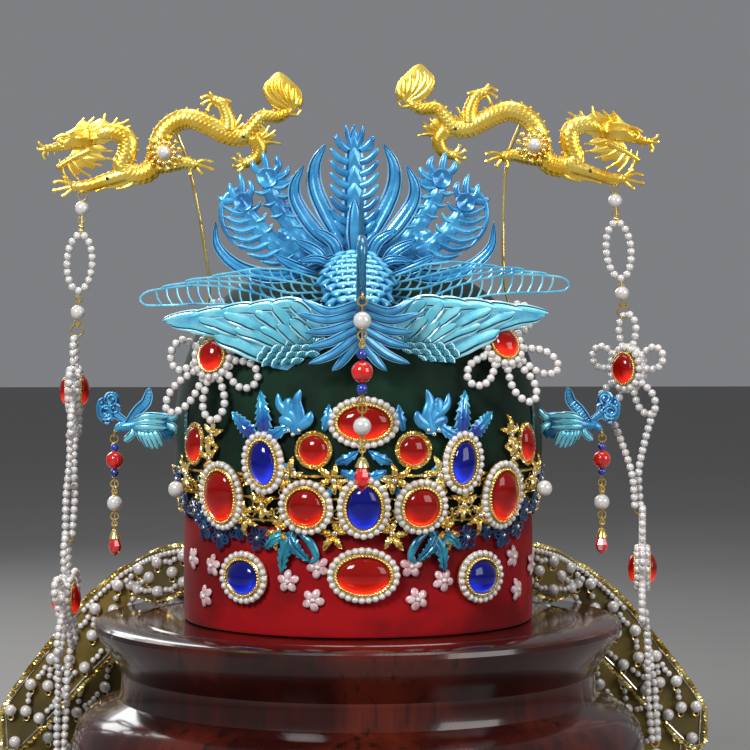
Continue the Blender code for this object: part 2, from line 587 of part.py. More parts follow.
def hanging_beads(rows, ring):
    """A ring with beads on a wire below it, its centre at the origin."""
    profile = [(WIRE, -ring + 0.2)]
    z = -ring
    for space, radius, half in rows:
        z -= space
        if space > 0.5:
            profile.append((WIRE, z))
        profile += [(radius, z - half * 0.62), (radius, z - half * 1.38)] if half > 2 else [(radius, z - half)]
        z -= 2 * half
        profile.append((WIRE, z))
    return fused([wire_ring(ring), turned(profile[:-1] + [(0, z)], 10)])


def build_beak_drop(finish, phoenix):
    """The jewelled drop that hangs from the beak."""
    x, y, z = BEAK[-1]
    add_object("beak_drop", hanging_beads(BEAK_DROP, 2.4), finish["red"], phoenix, shift(x, y, z - 2.9))


def paw(x, z, heading):
    """A paw with three claws."""
    points = []
    for angle, reach in ((-120, 2.6), (-40, 8.5), (-18, 3.2), (0, 9.5), (18, 3.2), (40, 8.5), (120, 2.6)):
        a = math.radians(heading + angle)
        points.append((x + reach * math.cos(a), z + reach * math.sin(a)))
    return plate(points, 2.4)


def build_dragons(finish, crown):
    """The two gold dragons, cast as flat relief, each on a wire pin with a bead flower on its side."""
    for side, at in DRAGON_AT.items():
        parts = [swept([(x, 0, z) for x, z, _ in DRAGON_SPINE], [(row[2], DRAGON_DEPTH) for row in DRAGON_SPINE], 6)]
        parts += [swept([(x, 0, z) for x, z in leg], [(3.2, 2.8), (2.6, 2.4), (2.0, 2.0)], 4) for leg in DRAGON_LEGS]
        parts += [paw(*row) for row in DRAGON_PAWS]
        parts.append(swept([(x, 0, z) for x, z, *_ in DRAGON_HEAD], [row[2:] for row in DRAGON_HEAD], 6))
        parts.append(swept([(x, 0, z) for x, z in DRAGON_JAW], [(3.2, 2.8), (2.6, 2.6), (1.6, 1.8)], 4))
        parts += [plate(DRAGON_MANE, 2.8), plate(DRAGON_BEARD, 2.0), plate(DRAGON_PLUME, 3.0)]
        parts += [wire_ring(1.7, at=DRAGON_EYELET, facing="x"), dragon_flower()]
        dragon = fused(parts)
        if side == "right":
            dragon = mirrored(dragon)
        add_object(f"dragon_{side}", dragon, finish["gold"], crown, shift(*at))
        inward = 1 if side == "left" else -1
        hold = [Vector(at) + Vector((inward * x, DRAGON_DEPTH + 1.2, z)) for x, z in PIN_HOLD]
        wire = swept([PIN_FEET[side], PIN_BENDS[side], *hold], (0.9, 0.9), 6, flat=(1, 0, 0))
        add_object(f"dragon_wire_{side}", wire, finish["gold"], crown)


def dragon_flower():
    """The flower of small beads on a dragon's side, facing the viewer."""
    points = []
    for k in range(12):
        a, reach = math.tau * k / 12, 9.0 if k % 2 else 5.6
        points.append((reach * math.cos(a), reach * math.sin(a)))
    heart = moved(turned([(4.0, 0), (3.6, 2.6), (0, 4.2)], 8), Matrix.Translation((0, -3.8, 0)) @ facing_front())
    base = plate(points, 3.6, y=-3.2)
    return fused([base, heart])


def flower_plate(petals, thickness):
    """Flower of bead loops: petals of (angle, reach, half width) round a heart, each a pierced loop."""
    outline, holes = [], []
    start = FLOWER_HEART[0]
    for angle, reach, wide in petals:
        a = math.radians(angle)
        along, side = Vector((math.cos(a), math.sin(a))), Vector((-math.sin(a), math.cos(a)))
        for t, w in ((0.0, -0.34), (0.6, -1.0), (1.0, 0.0), (0.6, 1.0), (0.0, 0.34)):
            outline.append(tuple(along * (start + (reach - start) * t) + side * wide * w))
        loop = ((0.26, 0.0), (0.52, -0.5), (0.78, 0.0), (0.52, 0.5))
        holes.append([tuple(along * (start + (reach - start) * t) + side * wide * w) for t, w in loop])
    return plate(outline, thickness, holes)


def flower(petals):
    """A flower of bead loops round a stone in a cup, facing -Y."""
    wide, tall = FLOWER_HEART
    rows = ((0, -2.4), (0, 3.4), (2.4, 5.6))
    cup = loft([ellipse(wide - inset, tall - inset, z, 8) for inset, z in rows])
    return fused([flower_plate(petals, 2 * BEAD), moved(cup, facing_front())])


def build_cap_flowers(finish, crown):
    """The bead flowers that stand on short stems on the sides of the cap."""
    for side, (azimuth, height, petals) in CAP_FLOWERS.items():
        radius, lean = cap_at(height)
        turn = Matrix.Rotation(math.radians(math.copysign(CAP_FLOWER_TURN, -azimuth)), 4, "Z")
        stem = swept([(0, -1, 0), (0, CAP_FLOWER_LIFT - 0.4, 0)], (1.2, 1.2), 6, flat=(1, 0, 0))
        made = fused([moved(flower(petals), turn), stem])
        place = seat(azimuth, height, radius, lean, 0, CAP_FLOWER_LIFT) @ facing_front().inverted()
        add_object(f"cap_flower_{side}", made, finish["pearl"], crown, place)


def build_strings(finish, crown):
    """The long strings: ring, pearl, loop, pearl, flower, two strands, flower, two strands and a drop."""
    for side, row in STRINGS.items():
        def at(down, offset=0.0, turn=0.0):
            spread = Vector((math.cos(math.radians(turn)), math.sin(math.radians(turn)), 0)) * offset
            return Vector((row["drift"] * down / STRING_END, 0, -down)) + spread

        loop, pearl, (first, second) = row["loop"], row["pearl"], row["flowers"]
        parts = [wire_ring(2.4), sphere(BIG_BEAD, at(6.5)), sphere(BIG_BEAD, at(pearl))]
        parts.append(swept([at(2), at(loop - 14)], (0.7, 0.7), 4))
        oval = [at(loop + x) + Vector((y, 0, 0)) for x, y, _ in ellipse(14.8, 6.6, 0, 12)]
        parts.append(swept(oval, (BEAD, BEAD), 5, closed=True))
        parts.append(swept([at(loop + 14), at(first[0] - first[1] + 2)], (0.7, 0.7), 4))
        for (down, reach, turn), low in ((first, second[0] - second[1] + 2), (second, STRING_END - 4)):
            petals = [(90 + 72 * k, reach if k in (0, 2, 3) else reach * 0.86, 7.4) for k in range(5)]
            parts.append(moved(flower(petals), Matrix.Translation(at(down)) @ Matrix.Rotation(math.radians(turn), 4, "Z")))
            for sign in (-1, 1):
                points = [at(down + reach * 0.72, sign * reach * 0.52, turn), at(down + reach + 6, sign * reach * 0.3, turn)]
                parts.append(swept(points + [at(low, sign * 1.9, 35)], (BEAD, BEAD), 5, flat=(0.3, 1, 0)))
        end = [(1.2, 2), (1.2, -1), (BIG_BEAD, -5), (1.0, -9), (3.2, -15), (0, -20)]
        parts.append(moved(turned(end, 10), Matrix.Translation(at(STRING_END - 4))))
        add_object(f"bead_string_{side}", fused(parts), finish["pearl"], crown, shift(*row["at"]))


def build_side_birds(finish, crown):
    """The small phoenixes on the sides of the cap, each with a drop on its beak."""
    edge = math.sqrt((cap_at(BIRD_HEIGHT)[0] + 0.5) ** 2 - BIRD_BACK ** 2)
    for side, sign in (("left", -1), ("right", 1)):
        body = swept([(x, 0, z) for x, z, *_ in BIRD_BODY], [row[2:] for row in BIRD_BODY], 8)
        parts = [body, plate(BIRD_SKIRT, 2.0), plate(BIRD_CREST, 2.2), blade(BIRD_WING, 2.8, 1.2)]
        bird = fused(parts + [wire_ring(1.7, at=BIRD_EYELET, facing="x")])
        if sign < 0:
            bird = mirrored(bird)
        place = shift(sign * edge, BIRD_BACK, BIRD_HEIGHT)
        add_object(f"side_bird_{side}", bird, finish["enamel"], crown, place)
        x, _, z = BIRD_EYELET
        spot = shift(sign * (edge + x), BIRD_BACK, BIRD_HEIGHT + z - 2.65)
        add_object(f"bird_drop_{side}", hanging_beads(BIRD_DROP, 2.2), finish["red"], crown, spot)


def build_back_wings(finish, crown):
    """The four stiff cloth wings that hang behind, two a side, each wider towards its rounded end."""
    for level, rows in BACK_WINGS.items():
        for side, sign in (("left", -1), ("right", 1)):
            wing = sheet(stations(rows, 1), BACK_WING_WALL)
            if sign < 0:
                wing = mirrored(wing)
            add_object(f"back_wing_{level}_{side}", wing, finish["cloth"], crown)


def main():
    """Builds the crown on its stand."""
    for obj in list(bpy.data.objects):
        bpy.data.objects.remove(obj, do_unlink=True)
    finish = make_materials()
    build_stand(finish)
    crown = add_empty("crown", shift(0, 0, STAND_HEIGHT))
    build_cap(finish, crown)
    build_belt(finish, crown)
    build_jewels(finish, crown)
    build_side_pins(finish, crown)
    build_leaves(finish, crown)
    phoenix = add_empty("phoenix", shift(*PHOENIX_AT) @ Matrix.Rotation(math.radians(PHOENIX_TURN), 4, "Z"), crown)
    build_body(finish, phoenix)
    build_tail(finish, phoenix)
    build_wings(finish, phoenix)
    build_beak_drop(finish, phoenix)
    build_dragons(finish, crown)
    build_cap_flowers(finish, crown)
    build_strings(finish, crown)
    build_side_birds(finish, crown)
    build_back_wings(finish, crown)


main()
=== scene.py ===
"""Looks of the phoenix crown on its turned wooden stand.

Shapes are worked out in millimetres in the crown's own frame: it faces -Y, up is +Z, and its origin is
on the middle of the stand's top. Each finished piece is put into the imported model's frame in metres.
"""
import math

import bpy
import numpy as np
from mathutils import Matrix, Vector


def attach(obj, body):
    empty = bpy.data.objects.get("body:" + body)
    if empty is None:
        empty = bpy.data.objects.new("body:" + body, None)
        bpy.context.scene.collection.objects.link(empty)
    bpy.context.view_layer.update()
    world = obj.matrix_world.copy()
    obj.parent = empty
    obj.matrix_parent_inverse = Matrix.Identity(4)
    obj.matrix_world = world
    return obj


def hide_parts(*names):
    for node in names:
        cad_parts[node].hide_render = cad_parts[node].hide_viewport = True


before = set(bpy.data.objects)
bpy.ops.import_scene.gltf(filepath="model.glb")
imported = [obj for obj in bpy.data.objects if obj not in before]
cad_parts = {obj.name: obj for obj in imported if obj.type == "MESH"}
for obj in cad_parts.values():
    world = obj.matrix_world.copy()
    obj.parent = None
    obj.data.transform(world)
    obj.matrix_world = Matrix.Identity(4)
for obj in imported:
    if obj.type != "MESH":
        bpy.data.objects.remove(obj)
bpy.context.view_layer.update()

MM = 0.001
STAND_HEIGHT = 130.0
UP, FRONT = (0, 0, 1), (0, -1, 0)

# Stand, cap and band: radius and height above the stand's top.
STAND_ROWS = [
    (2, -129.9), (143, -129.9), (146.4, -129.2), (147.6, -126.5), (146.6, -123), (141, -119.5),
    (139.2, -117), (141, -112), (147, -103), (151, -92), (152.8, -76), (152.6, -64), (149.5, -55),
    (143, -48), (134, -43.5), (127.6, -40.6), (126.4, -37), (126.2, -27), (129.5, -22), (135.5, -13),
    (139.2, -7), (140.2, -4), (139.6, -1.6), (138.2, -0.7), (136.6, -1.0), (135.4, -0.4), (117.6, -0.3),
    (116.8, -0.9), (115.2, -0.9), (114.4, -0.2), (2, -0.1),
]
CAP_ROWS = [
    (89.6, 0.3), (89.6, 30), (89.6, 53.5), (92.8, 56.4), (94.2, 60), (97.2, 76), (98.2, 90), (98, 102),
    (97, 114), (94.6, 128), (91, 140), (85.4, 153), (78, 164), (67.4, 173.6), (55, 181), (42, 185.6),
    (28, 188.5), (14, 190.1), (0.2, 190.5),
]
CAP_WALL, CAP_SHRINK = 2.0, 0.997
CAP_PLACES = [
    (89.6, 0.3), (89.6, 54.8), (94, 57), (98, 84), (97.5, 112), (91, 140), (78, 164), (55, 181),
    (28, 188.5),
]
BAND_INNER, BAND_OUTER, BAND_LOW, BAND_TOP = 90.2, 93.0, 0.3, 55.0

# Jewels: name, azimuth, height, half width, half height, turn, rim, stone and lift off the cap.
JEWELS = [
    ("top_red", 0, 108.0, 18.0, 13.2, 0, "pearl", "red", -0.3),
    ("round_left", -14.4, 94.3, 9.7, 9.7, 0, "gold", "red", 0.0),
    ("round_right", 14.4, 94.3, 9.7, 9.7, 0, "gold", "red", 0.0),
    ("blue_left", -29.2, 87.5, 12.2, 16.0, 8, "pearl", "blue", 2.4),
    ("blue_right", 29.2, 87.5, 12.2, 16.0, -8, "pearl", "blue", 2.4),
    ("red_left", -16.7, 66.6, 14.3, 14.3, 0, "pearl", "red", 2.4),
    ("red_right", 16.7, 66.6, 14.3, 14.3, 0, "pearl", "red", 2.4),
    ("blue_middle", 0, 66.4, 13.6, 16.2, 0, "pearl", "blue", 1.4),
    ("side_left", -45.2, 70.6, 15.4, 18.2, -14, "pearl", "red", 2.4),
    ("side_right", 45.2, 70.6, 15.4, 18.2, 14, "pearl", "red", 2.4),
    ("far_left", -58.5, 95.0, 9.2, 11.4, -8, "gold", "red", 0.5),
    ("far_right", 58.5, 95.0, 9.2, 11.4, 8, "gold", "red", 0.5),
    ("band_middle", 0, 32.0, 18.4, 14.2, 0, "pearl", "red", 0.4),
    ("band_left", -39.0, 29.0, 15.2, 13.6, 0, "pearl", "blue", 0.4),
    ("band_right", 39.0, 29.0, 15.2, 13.6, 0, "pearl", "blue", 0.4),
]
RIM_PEARL, CUP_GRAIN, SMALL_CUP_GRAIN = 1.72, 0.8, 0.5
STONE_INSET, SMALL_STONE_INSET, SMALL_STONE_FOOT = 5.5, 2.6, 1.7
STONE_GIRDLE, SMALL_STONE_GIRDLE, STONE_RISE, STONE_SKIRT = 2.2, 1.4, 0.42, 0.8
# Rows of a cup, from its rim inwards: inset and height.
PEARL_CUP = [
    (0.7, 0.02), (0.5, 1.2), (2.4, 1.6), (3.4, 1.7), (3.5, 3.0), (4.0, 3.4), (5.0, 3.0), (5.4, 2.2),
    (7.0, 1.3), (8.8, 1.2),
]
SMALL_CUP = [(0.8, 0.02), (0.4, 0.9), (1.4, 1.4), (2.0, 1.2), (3.0, 0.9)]

# Beads and wire of the strings and flowers.
BEAD, BIG_BEAD, WIRE = 2.1, 3.8, 0.45

# Strings: reading down each, in millimetres below its ring.
STRINGS = {
    "left": {"at": (-145.0, -14.0, 223.2), "drift": -13.0, "loop": 35.0, "pearl": 61.0,
             "flowers": ((102.0, 29.0, 88.0), (211.6, 34.0, 82.0))},
    "right": {"at": (135.0, -14.0, 227.7), "drift": 23.0, "loop": 32.7, "pearl": 55.4,
              "flowers": ((95.0, 30.0, -46.0), (201.0, 33.5, 82.0))},
}
STRING_END = 300.0
STRING_DROP_CAP = [(0.5, -1.0), (2.0, -0.6), (2.6, 0.4), (0.8, 1.2)]
STRING_DROP = [(0.3, -9.6), (2.3, -6.0), (3.2, -2.0), (2.4, 0.6), (0.6, 1.6)]

# Flowers of bead loops on the cap: azimuth, height and the petals' angle, reach and half width.
CAP_FLOWERS = {
    "left": (-47.3, 137.6, ((96, 30, 7.5), (182, 26, 9.4), (235, 38, 7.8), (280, 34, 7.8), (338, 29, 8.2))),
    "right": (45.4, 140.6, ((40, 30, 8.2), (98, 28, 7.5), (212, 31, 7.8), (277, 34, 8), (325, 33, 8.2))),
}
FLOWER_HEART = (7.6, 8.8)
CAP_FLOWER_LIFT, CAP_FLOWER_TURN = 10.0, 22.0


def unit(vectors):
    """The vectors, each with a length of one."""
    return vectors / np.maximum(np.linalg.norm(vectors, axis=-1, keepdims=True), 1e-9)


class Shape:
    """Points in millimetres and faces sorted by their number of corners, each corner with a flat (u, v)."""

    def __init__(self, points, faces):
        self.points, self.faces = points, faces

    def copies(self, places):
        """This shape at each of several 4x4 places, as one shape."""
        places = np.array([np.array(p) for p in places], float)
        points = np.einsum("nij,pj->npi", places[:, :3, :3], self.points) + places[:, None, :3, 3]
        starts = np.arange(len(places)) * len(self.points)
        flip = np.linalg.det(places[0, :3, :3]) < 0
        faces = {}
        for corners, (indices, flat) in self.faces.items():
            if flip:
                indices, flat = indices[:, ::-1], flat[:, ::-1]
            indices = (indices[None] + starts[:, None, None]).reshape(-1, corners)
            faces[corners] = (indices, np.tile(flat, (len(places), 1, 1)))
        return Shape(points.reshape(-1, 3), faces)

    def at(self, place):
        """This shape at one 4x4 place."""
        return self.copies([place])

    def shaped(self, change):
        """This shape with its points changed by a function of all of them."""
        return Shape(change(self.points.copy()), self.faces)

    def flattened(self, change):
        """This shape with the flat (u, v) of each corner given by a function of the points."""
        flat = change(self.points)
        return Shape(self.points, {n: (indices, flat[indices]) for n, (indices, _) in self.faces.items()})


def joined(shapes):
    """Several shapes as one."""
    points, faces, start = [], {}, 0
    for shape in shapes:
        for corners, (indices, flat) in shape.faces.items():
            faces.setdefault(corners, []).append((indices + start, flat))
        points.append(shape.points)
        start += len(shape.points)
    both = {n: tuple(np.concatenate([row[k] for row in rows]) for k in (0, 1)) for n, rows in faces.items()}
    return Shape(np.concatenate(points), both)


def captured(obj):
    """The shape of a modelled object, which is then removed."""
    mesh = obj.data
    points = np.empty((len(mesh.vertices), 3))
    mesh.vertices.foreach_get("co", points.ravel())
    corner = np.empty(len(mesh.loops), int)
    mesh.loops.foreach_get("vertex_index", corner)
    flat = np.zeros((len(mesh.loops), 2))
    if mesh.uv_layers:
        mesh.uv_layers[0].data.foreach_get("uv", flat.ravel())
    start, total = np.empty(len(mesh.polygons), int), np.empty(len(mesh.polygons), int)
    mesh.polygons.foreach_get("loop_start", start)
    mesh.polygons.foreach_get("loop_total", total)
    faces = {}
    for corners in np.unique(total):
        rows = start[total == corners][:, None] + np.arange(corners)
        faces[int(corners)] = (corner[rows], flat[rows])
    bpy.data.meshes.remove(mesh)
    return Shape(points, faces)


def start_from(primitive, **settings):
    """A new primitive as the only selected object."""
    bpy.ops.object.select_all(action="DESELECT")
    getattr(bpy.ops.mesh, f"primitive_{primitive}_add")(**settings)
    return bpy.context.object


def edit(*steps):
    """Runs steps on all of the active mesh in edit mode."""
    bpy.ops.object.mode_set(mode="EDIT")
    bpy.ops.mesh.select_all(action="SELECT")
    for step in steps:
        step()
    bpy.ops.object.mode_set(mode="OBJECT")


def applied(obj, kind, **settings):
    """Adds a modifier with its settings and applies it."""
    modifier = obj.modifiers.new(kind.lower(), kind)
    for key, value in settings.items():
        setattr(modifier, key, value)
    bpy.ops.object.modifier_apply(modifier=modifier.name)


def outwards():
    """Turns all faces outwards."""
    bpy.ops.mesh.normals_make_consistent(inside=False)


def grid(across, along, place, wall=0.0):
    """A grid whose points go to place(u, v), with a wall behind it, or closed by its own shape."""
    obj = start_from("grid", x_subdivisions=across, y_subdivisions=along, size=2.0)
    points = np.empty((len(obj.data.vertices), 3))
    obj.data.vertices.foreach_get("co", points.ravel())
    u, v = points[:, 0] / 2 + 0.5, points[:, 1] / 2 + 0.5
    obj.data.vertices.foreach_set("co", place(u, v).astype(float).ravel())
    edit(lambda: bpy.ops.mesh.remove_doubles(threshold=0.003))
    if wall:
        applied(obj, "SOLIDIFY", thickness=wall, offset=-1.0)
    else:
        edit(outwards)
    return captured(obj)


def turned(rows, sides):
    """A form turned on a lathe: a disc drawn up ring by ring through (radius, height) rows.

    A row may also be (half width, half depth, height) for an oval form."""
    rows = [(row[0], row[0], row[1]) if len(row) == 2 else row for row in rows]
    obj = start_from("circle", vertices=sides, radius=1.0, fill_type="NGON")
    wide, deep, low = rows[0]

    def draw():
        bpy.ops.transform.resize(value=(wide, deep, 1), center_override=(0, 0, 0))
        bpy.ops.transform.translate(value=(0, 0, low))
        for (w0, d0, z0), (w1, d1, z1) in zip(rows, rows[1:]):
            bpy.ops.mesh.extrude_region_move(TRANSFORM_OT_translate={"value": (0, 0, z1 - z0)})
            bpy.ops.transform.resize(value=(w1 / w0, d1 / d0, 1), center_override=(0, 0, z1))
        bpy.ops.mesh.select_all(action="SELECT")
        outwards()

    edit(draw)
    return captured(obj)


def ball(detail):
    """A round bead of radius one."""
    return captured(start_from("ico_sphere", subdivisions=detail, radius=1.0))


def ring(radius, wire, around=20, sides=6):
    """A closed ring of wire about Z."""
    made = start_from(
        "torus", major_radius=radius, minor_radius=wire, major_segments=around, minor_segments=sides,
    )
    return captured(made)


def wires(paths, radius, closed=False, roundness=1):
    """Round wires along lists of points. A fourth number is the wire's own thickness there, as a share."""
    curve = bpy.data.curves.new("wire", "CURVE")
    curve.dimensions = "3D"
    curve.bevel_depth, curve.bevel_resolution = radius, roundness
    curve.use_fill_caps = True
    for points in paths:
        points = np.asarray(points, float)
        spline = curve.splines.new("POLY")
        spline.points.add(len(points) - 1)
        places = np.ones((len(points), 4))
        places[:, :3] = points[:, :3]
        spline.points.foreach_set("co", places.ravel())
        if points.shape[1] > 3:
            spline.points.foreach_set("radius", np.ascontiguousarray(points[:, 3]))
        spline.use_cyclic_u = closed
    obj = bpy.data.objects.new("wire", curve)
    bpy.context.scene.collection.objects.link(obj)
    bpy.ops.object.select_all(action="DESELECT")
    obj.select_set(True)
    bpy.context.view_layer.objects.active = obj
    bpy.ops.object.convert(target="MESH")
    return captured(bpy.context.object)


class Path:
    """A smooth line through a few points, read by the share of its length. Further columns go along."""

    STEPS = 12

    def __init__(self, points, closed=False):
        points = np.array([tuple(p) for p in points], float)
        if closed:
            ends = np.vstack([points[-1:], points, points[:2]])
        else:
            ends = np.vstack([2 * points[:1] - points[1:2], points, 2 * points[-1:] - points[-2:-1]])
        t = (np.arange(self.STEPS) / self.STEPS)[:, None]
        rows = [
            0.5 * (
                2 * b + (c - a) * t + (2 * a - 5 * b + 4 * c - d) * t ** 2
                + (3 * b - a - 3 * c + d) * t ** 3
            )
            for a, b, c, d in zip(ends, ends[1:], ends[2:], ends[3:])
        ]
        self.dense = np.vstack(rows + [points[:1] if closed else points[-1:]])
        steps = np.linalg.norm(np.diff(self.dense[:, :3], axis=0), axis=1)
        self.reach = np.concatenate([[0], np.cumsum(steps)])
        self.length = float(self.reach[-1])

    def at(self, share):
        """Points at shares of the length."""
        reach = np.asarray(share, float) * self.length
        return np.stack([np.interp(reach, self.reach, column) for column in self.dense.T], axis=-1)

    def heading(self, share):
        """Directions of travel at shares of the length."""
        share = np.asarray(share, float)
        return unit(
            self.at(np.minimum(share + 0.008, 1))[..., :3] - self.at(np.maximum(share - 0.008, 0))[..., :3]
        )

    def points(self, count):
        """Evenly spaced points from end to end."""
        return self.at(np.linspace(0, 1, count))


def ribbon(path, width, face=FRONT, relief=None, cells=(8, 14), wall=0.8):
    """A feather, leaf or strap along a path, with a half width and a relief across and along it."""
    face = np.array(face, float)

    def place(u, v):
        ahead = path.heading(v)
        out = unit(face - ahead * (ahead @ face)[:, None])
        side = np.cross(ahead, out)
        across = 2 * u - 1
        height = relief(np.abs(across), v) if relief else 0 * u
        return path.at(v)[:, :3] + side * (across * width(v))[:, None] + out * height[:, None]

    return grid(*cells, place, wall)


def rod(path, girth, depth, face=FRONT, cells=(12, 24), relief=None):
    """A rounded body along a path, with its half width across and its half depth towards face."""
    face = np.array(face, float)

    def place(u, v):
        ahead = path.heading(v)
        out = unit(face - ahead * (ahead @ face)[:, None])
        side = np.cross(ahead, out)
        angle = math.tau * u
        swell = relief(u, v) if relief else 0 * u
        wide, deep = girth(v), depth(v)
        grown = np.where(wide > 0.01, swell, 0)
        return (
            path.at(v)[:, :3] + side * ((wide + grown) * np.cos(angle))[:, None]
            + out * ((deep + grown) * np.sin(angle))[:, None]
        )

    return grid(*cells, place)


def beads(points, radius, model):
    """A copy of a bead at each point."""
    points = np.asarray(points, float)
    places = np.zeros((len(points), 4, 4))
    for k in range(3):
        places[:, k, k] = radius
    places[:, :3, 3] = points[:, :3]
    places[:, 3, 3] = 1
    return model.copies(places)


def strung(path, radius, model, closed=False):
    """Beads that touch each other along a path."""
    count = max(1, round(path.length / (2 * radius)))
    shares = np.arange(count) / count if closed else (np.arange(count) + 0.5) / count
    return beads(path.at(shares), radius, model)


def move(x=0.0, y=0.0, z=0.0):
    """A move, as a place."""
    return Matrix.Translation((x, y, z))


def spin(degrees, axis="Z"):
    """A turn, as a place."""
    return Matrix.Rotation(math.radians(degrees), 4, axis)


def size(x, y=None, z=None):
    """A stretch, as a place."""
    return Matrix.Diagonal((x, x if y is None else y, x if z is None else z, 1))


MIRROR = size(-1, 1, 1)
SIDES = (("left", MIRROR), ("right", Matrix.Identity(4)))
FACING_FRONT = spin(90, "X")


def cap_at(height):
    """Radius of the cap's outside at a height, and its lean inwards there in degrees."""
    for (r0, z0), (r1, z1) in zip(CAP_PLACES, CAP_PLACES[1:]):
        if z0 <= height <= z1:
            share = (height - z0) / (z1 - z0)
            return r0 + (r1 - r0) * share, math.degrees(math.atan2(r0 - r1, z1 - z0))
    return 0.0, 90.0


def seat(azimuth, height, radius, lean=0.0, turn=0.0, lift=0.0):
    """Place of a piece on the cap: its Z points out of the cap and its Y up along it."""
    a = math.radians(azimuth)
    out, right = Vector((math.sin(a), -math.cos(a), 0)), Vector((math.cos(a), math.sin(a), 0))
    turned_out = Matrix((right, Vector(UP), out)).transposed().to_4x4()
    place = Matrix.Translation(out * radius + Vector((0, 0, height))) @ turned_out
    return place @ spin(-lean, "X") @ spin(turn) @ move(z=lift)


def on_cap(azimuth, height, lift=0.0, turn=0.0):
    """Place of a piece on the velvet: on the band below its top and on the cap above it."""
    radius, lean = (BAND_OUTER, 0.0) if height < BAND_TOP else cap_at(height)
    return seat(azimuth, height, radius, lean, turn, lift)


class Socket:
    """A number in a material, whose operators add Math nodes."""

    def __init__(self, finish, socket):
        self.finish, self.socket = finish, socket

    def math(self, operation, *values):
        """The result of a Math node on this number and others."""
        sockets = dict(enumerate(values))
        return self.finish.add("ShaderNodeMath", {"operation": operation}, sockets)

    def __add__(self, other):
        return self.math("ADD", self, other)

    def __sub__(self, other):
        return self.math("SUBTRACT", self, other)

    def __rsub__(self, other):
        return self.math("SUBTRACT", other, self)

    def __mul__(self, other):
        return self.math("MULTIPLY", self, other)

    def __pow__(self, other):
        return self.math("POWER", self, other)

    __radd__, __rmul__ = __add__, __mul__

    def absolute(self):
        """This number without its sign."""
        return self.math("ABSOLUTE", self)

    def sine(self):
        """The sine of this number, in radians."""
        return self.math("SINE", self)

    def span(self, low, high):
        """From 0 to 1 as this number goes from low to high, with soft ends."""
        sockets = {"Value": self, "From Min": low, "From Max": high}
        return self.finish.add("ShaderNodeMapRange", {"interpolation_type": "SMOOTHSTEP"}, sockets)


class Finish:
    """A material in the making."""

    def __init__(self, name):
        self.material = bpy.data.materials.new(name)
        self.material.use_nodes = True
        self.tree = self.material.node_tree
        self.tree.nodes.clear()

    def add(self, kind, settings=None, sockets=None, output=0):
        """A node with its settings, then the values or links of its sockets. Gives one of its outputs."""
        node = self.tree.nodes.new(kind)
        for key, value in (settings or {}).items():
            if key == "stops":
                while len(node.color_ramp.elements) < len(value):
                    node.color_ramp.elements.new(0.5)
                for element, (at, colour) in zip(node.color_ramp.elements, value):
                    element.position, element.color = at, (*colour, 1)
            else:
                setattr(node, key, value)
        for key, value in (sockets or {}).items():
            if isinstance(value, Socket):
                self.tree.links.new(value.socket, node.inputs[key])
            else:
                node.inputs[key].default_value = value
        return Socket(self, node.outputs[output]) if len(node.outputs) else None

    def place(self, stretch=(1, 1, 1), turn=(0, 0, 0)):
        """Coordinates on the object, in metres, stretched and turned."""
        here = self.add("ShaderNodeTexCoord", output=3)
        return self.add("ShaderNodeMapping", sockets={"Vector": here, "Scale": stretch, "Rotation": turn})

    def flat(self):
        """The two flat coordinates of the piece: across and along."""
        here = self.add("ShaderNodeTexCoord", output=2)
        parts = self.add("ShaderNodeSeparateXYZ", sockets={"Vector": here})
        return parts, Socket(self, parts.socket.node.outputs[1])

    def noise(self, scale, detail=3.0, rough=0.5, place=None, output=0):
        """Soft noise on the object."""
        sockets = {"Vector": place or self.place(), "Scale": scale, "Detail": detail, "Roughness": rough}
        return self.add("ShaderNodeTexNoise", sockets=sockets, output=output)

    def ramp(self, factor, *stops):
        """Colours along a number."""
        return self.add("ShaderNodeValToRGB", {"stops": stops}, {"Fac": factor})

    def mix(self, factor, first, second, blend="MIX"):
        """Two colours mixed."""
        first, second = (c if isinstance(c, Socket) else (*c, 1) for c in (first, second))
        settings = {"data_type": "RGBA", "blend_type": blend}
        return self.add("ShaderNodeMix", settings, {0: factor, 6: first, 7: second}, output=2)

    def bump(self, height, strength, distance=0.0002):
        """A normal from a height."""
        return self.add(
            "ShaderNodeBump", sockets={"Height": height, "Strength": strength, "Distance": distance},
        )

    def surface(self, colour, roughness, metallic=0.0, normal=None, **constants):
        """Ends the material in one shader."""
        sockets = {"Base Color": colour if isinstance(colour, Socket) else (*colour, 1)}
        sockets.update({"Roughness": roughness, "Metallic": metallic})
        if normal:
            sockets["Normal"] = normal
        sockets.update(
            {key.replace("_", " ").title().replace("Ior", "IOR"): value for key, value in constants.items()}
        )
        shader = self.add("ShaderNodeBsdfPrincipled", sockets=sockets)
        self.add("ShaderNodeOutputMaterial", sockets={"Surface": shader})
        return self.material


def rosewood():
    """Polished dark rosewood, with red-brown figure and dark streaks up and down."""
    f = Finish("rosewood")
    warp = f.noise(14.0, 2.0)
    figure = f.noise(26.0, 5.0, 0.6, f.place((1, 1, 0.22)))
    streak = f.noise(150.0, 4.0, 0.6, f.place((1, 1, 0.06)))
    share = figure * 0.7 + warp * 0.3
    tone = f.ramp(
        share, (0.3, (0.006, 0.001, 0.001)), (0.48, (0.026, 0.003, 0.002)), (0.66, (0.085, 0.011, 0.005)),
    )
    colour = f.mix(streak.span(0.52, 0.72), tone, (0.010, 0.003, 0.002))
    rough = 0.13 + streak * 0.08
    return f.surface(
        colour, rough, 0.0, f.bump(streak, 0.05), coat_weight=0.35, coat_roughness=0.06,
        specular_ior_level=0.35,
    )


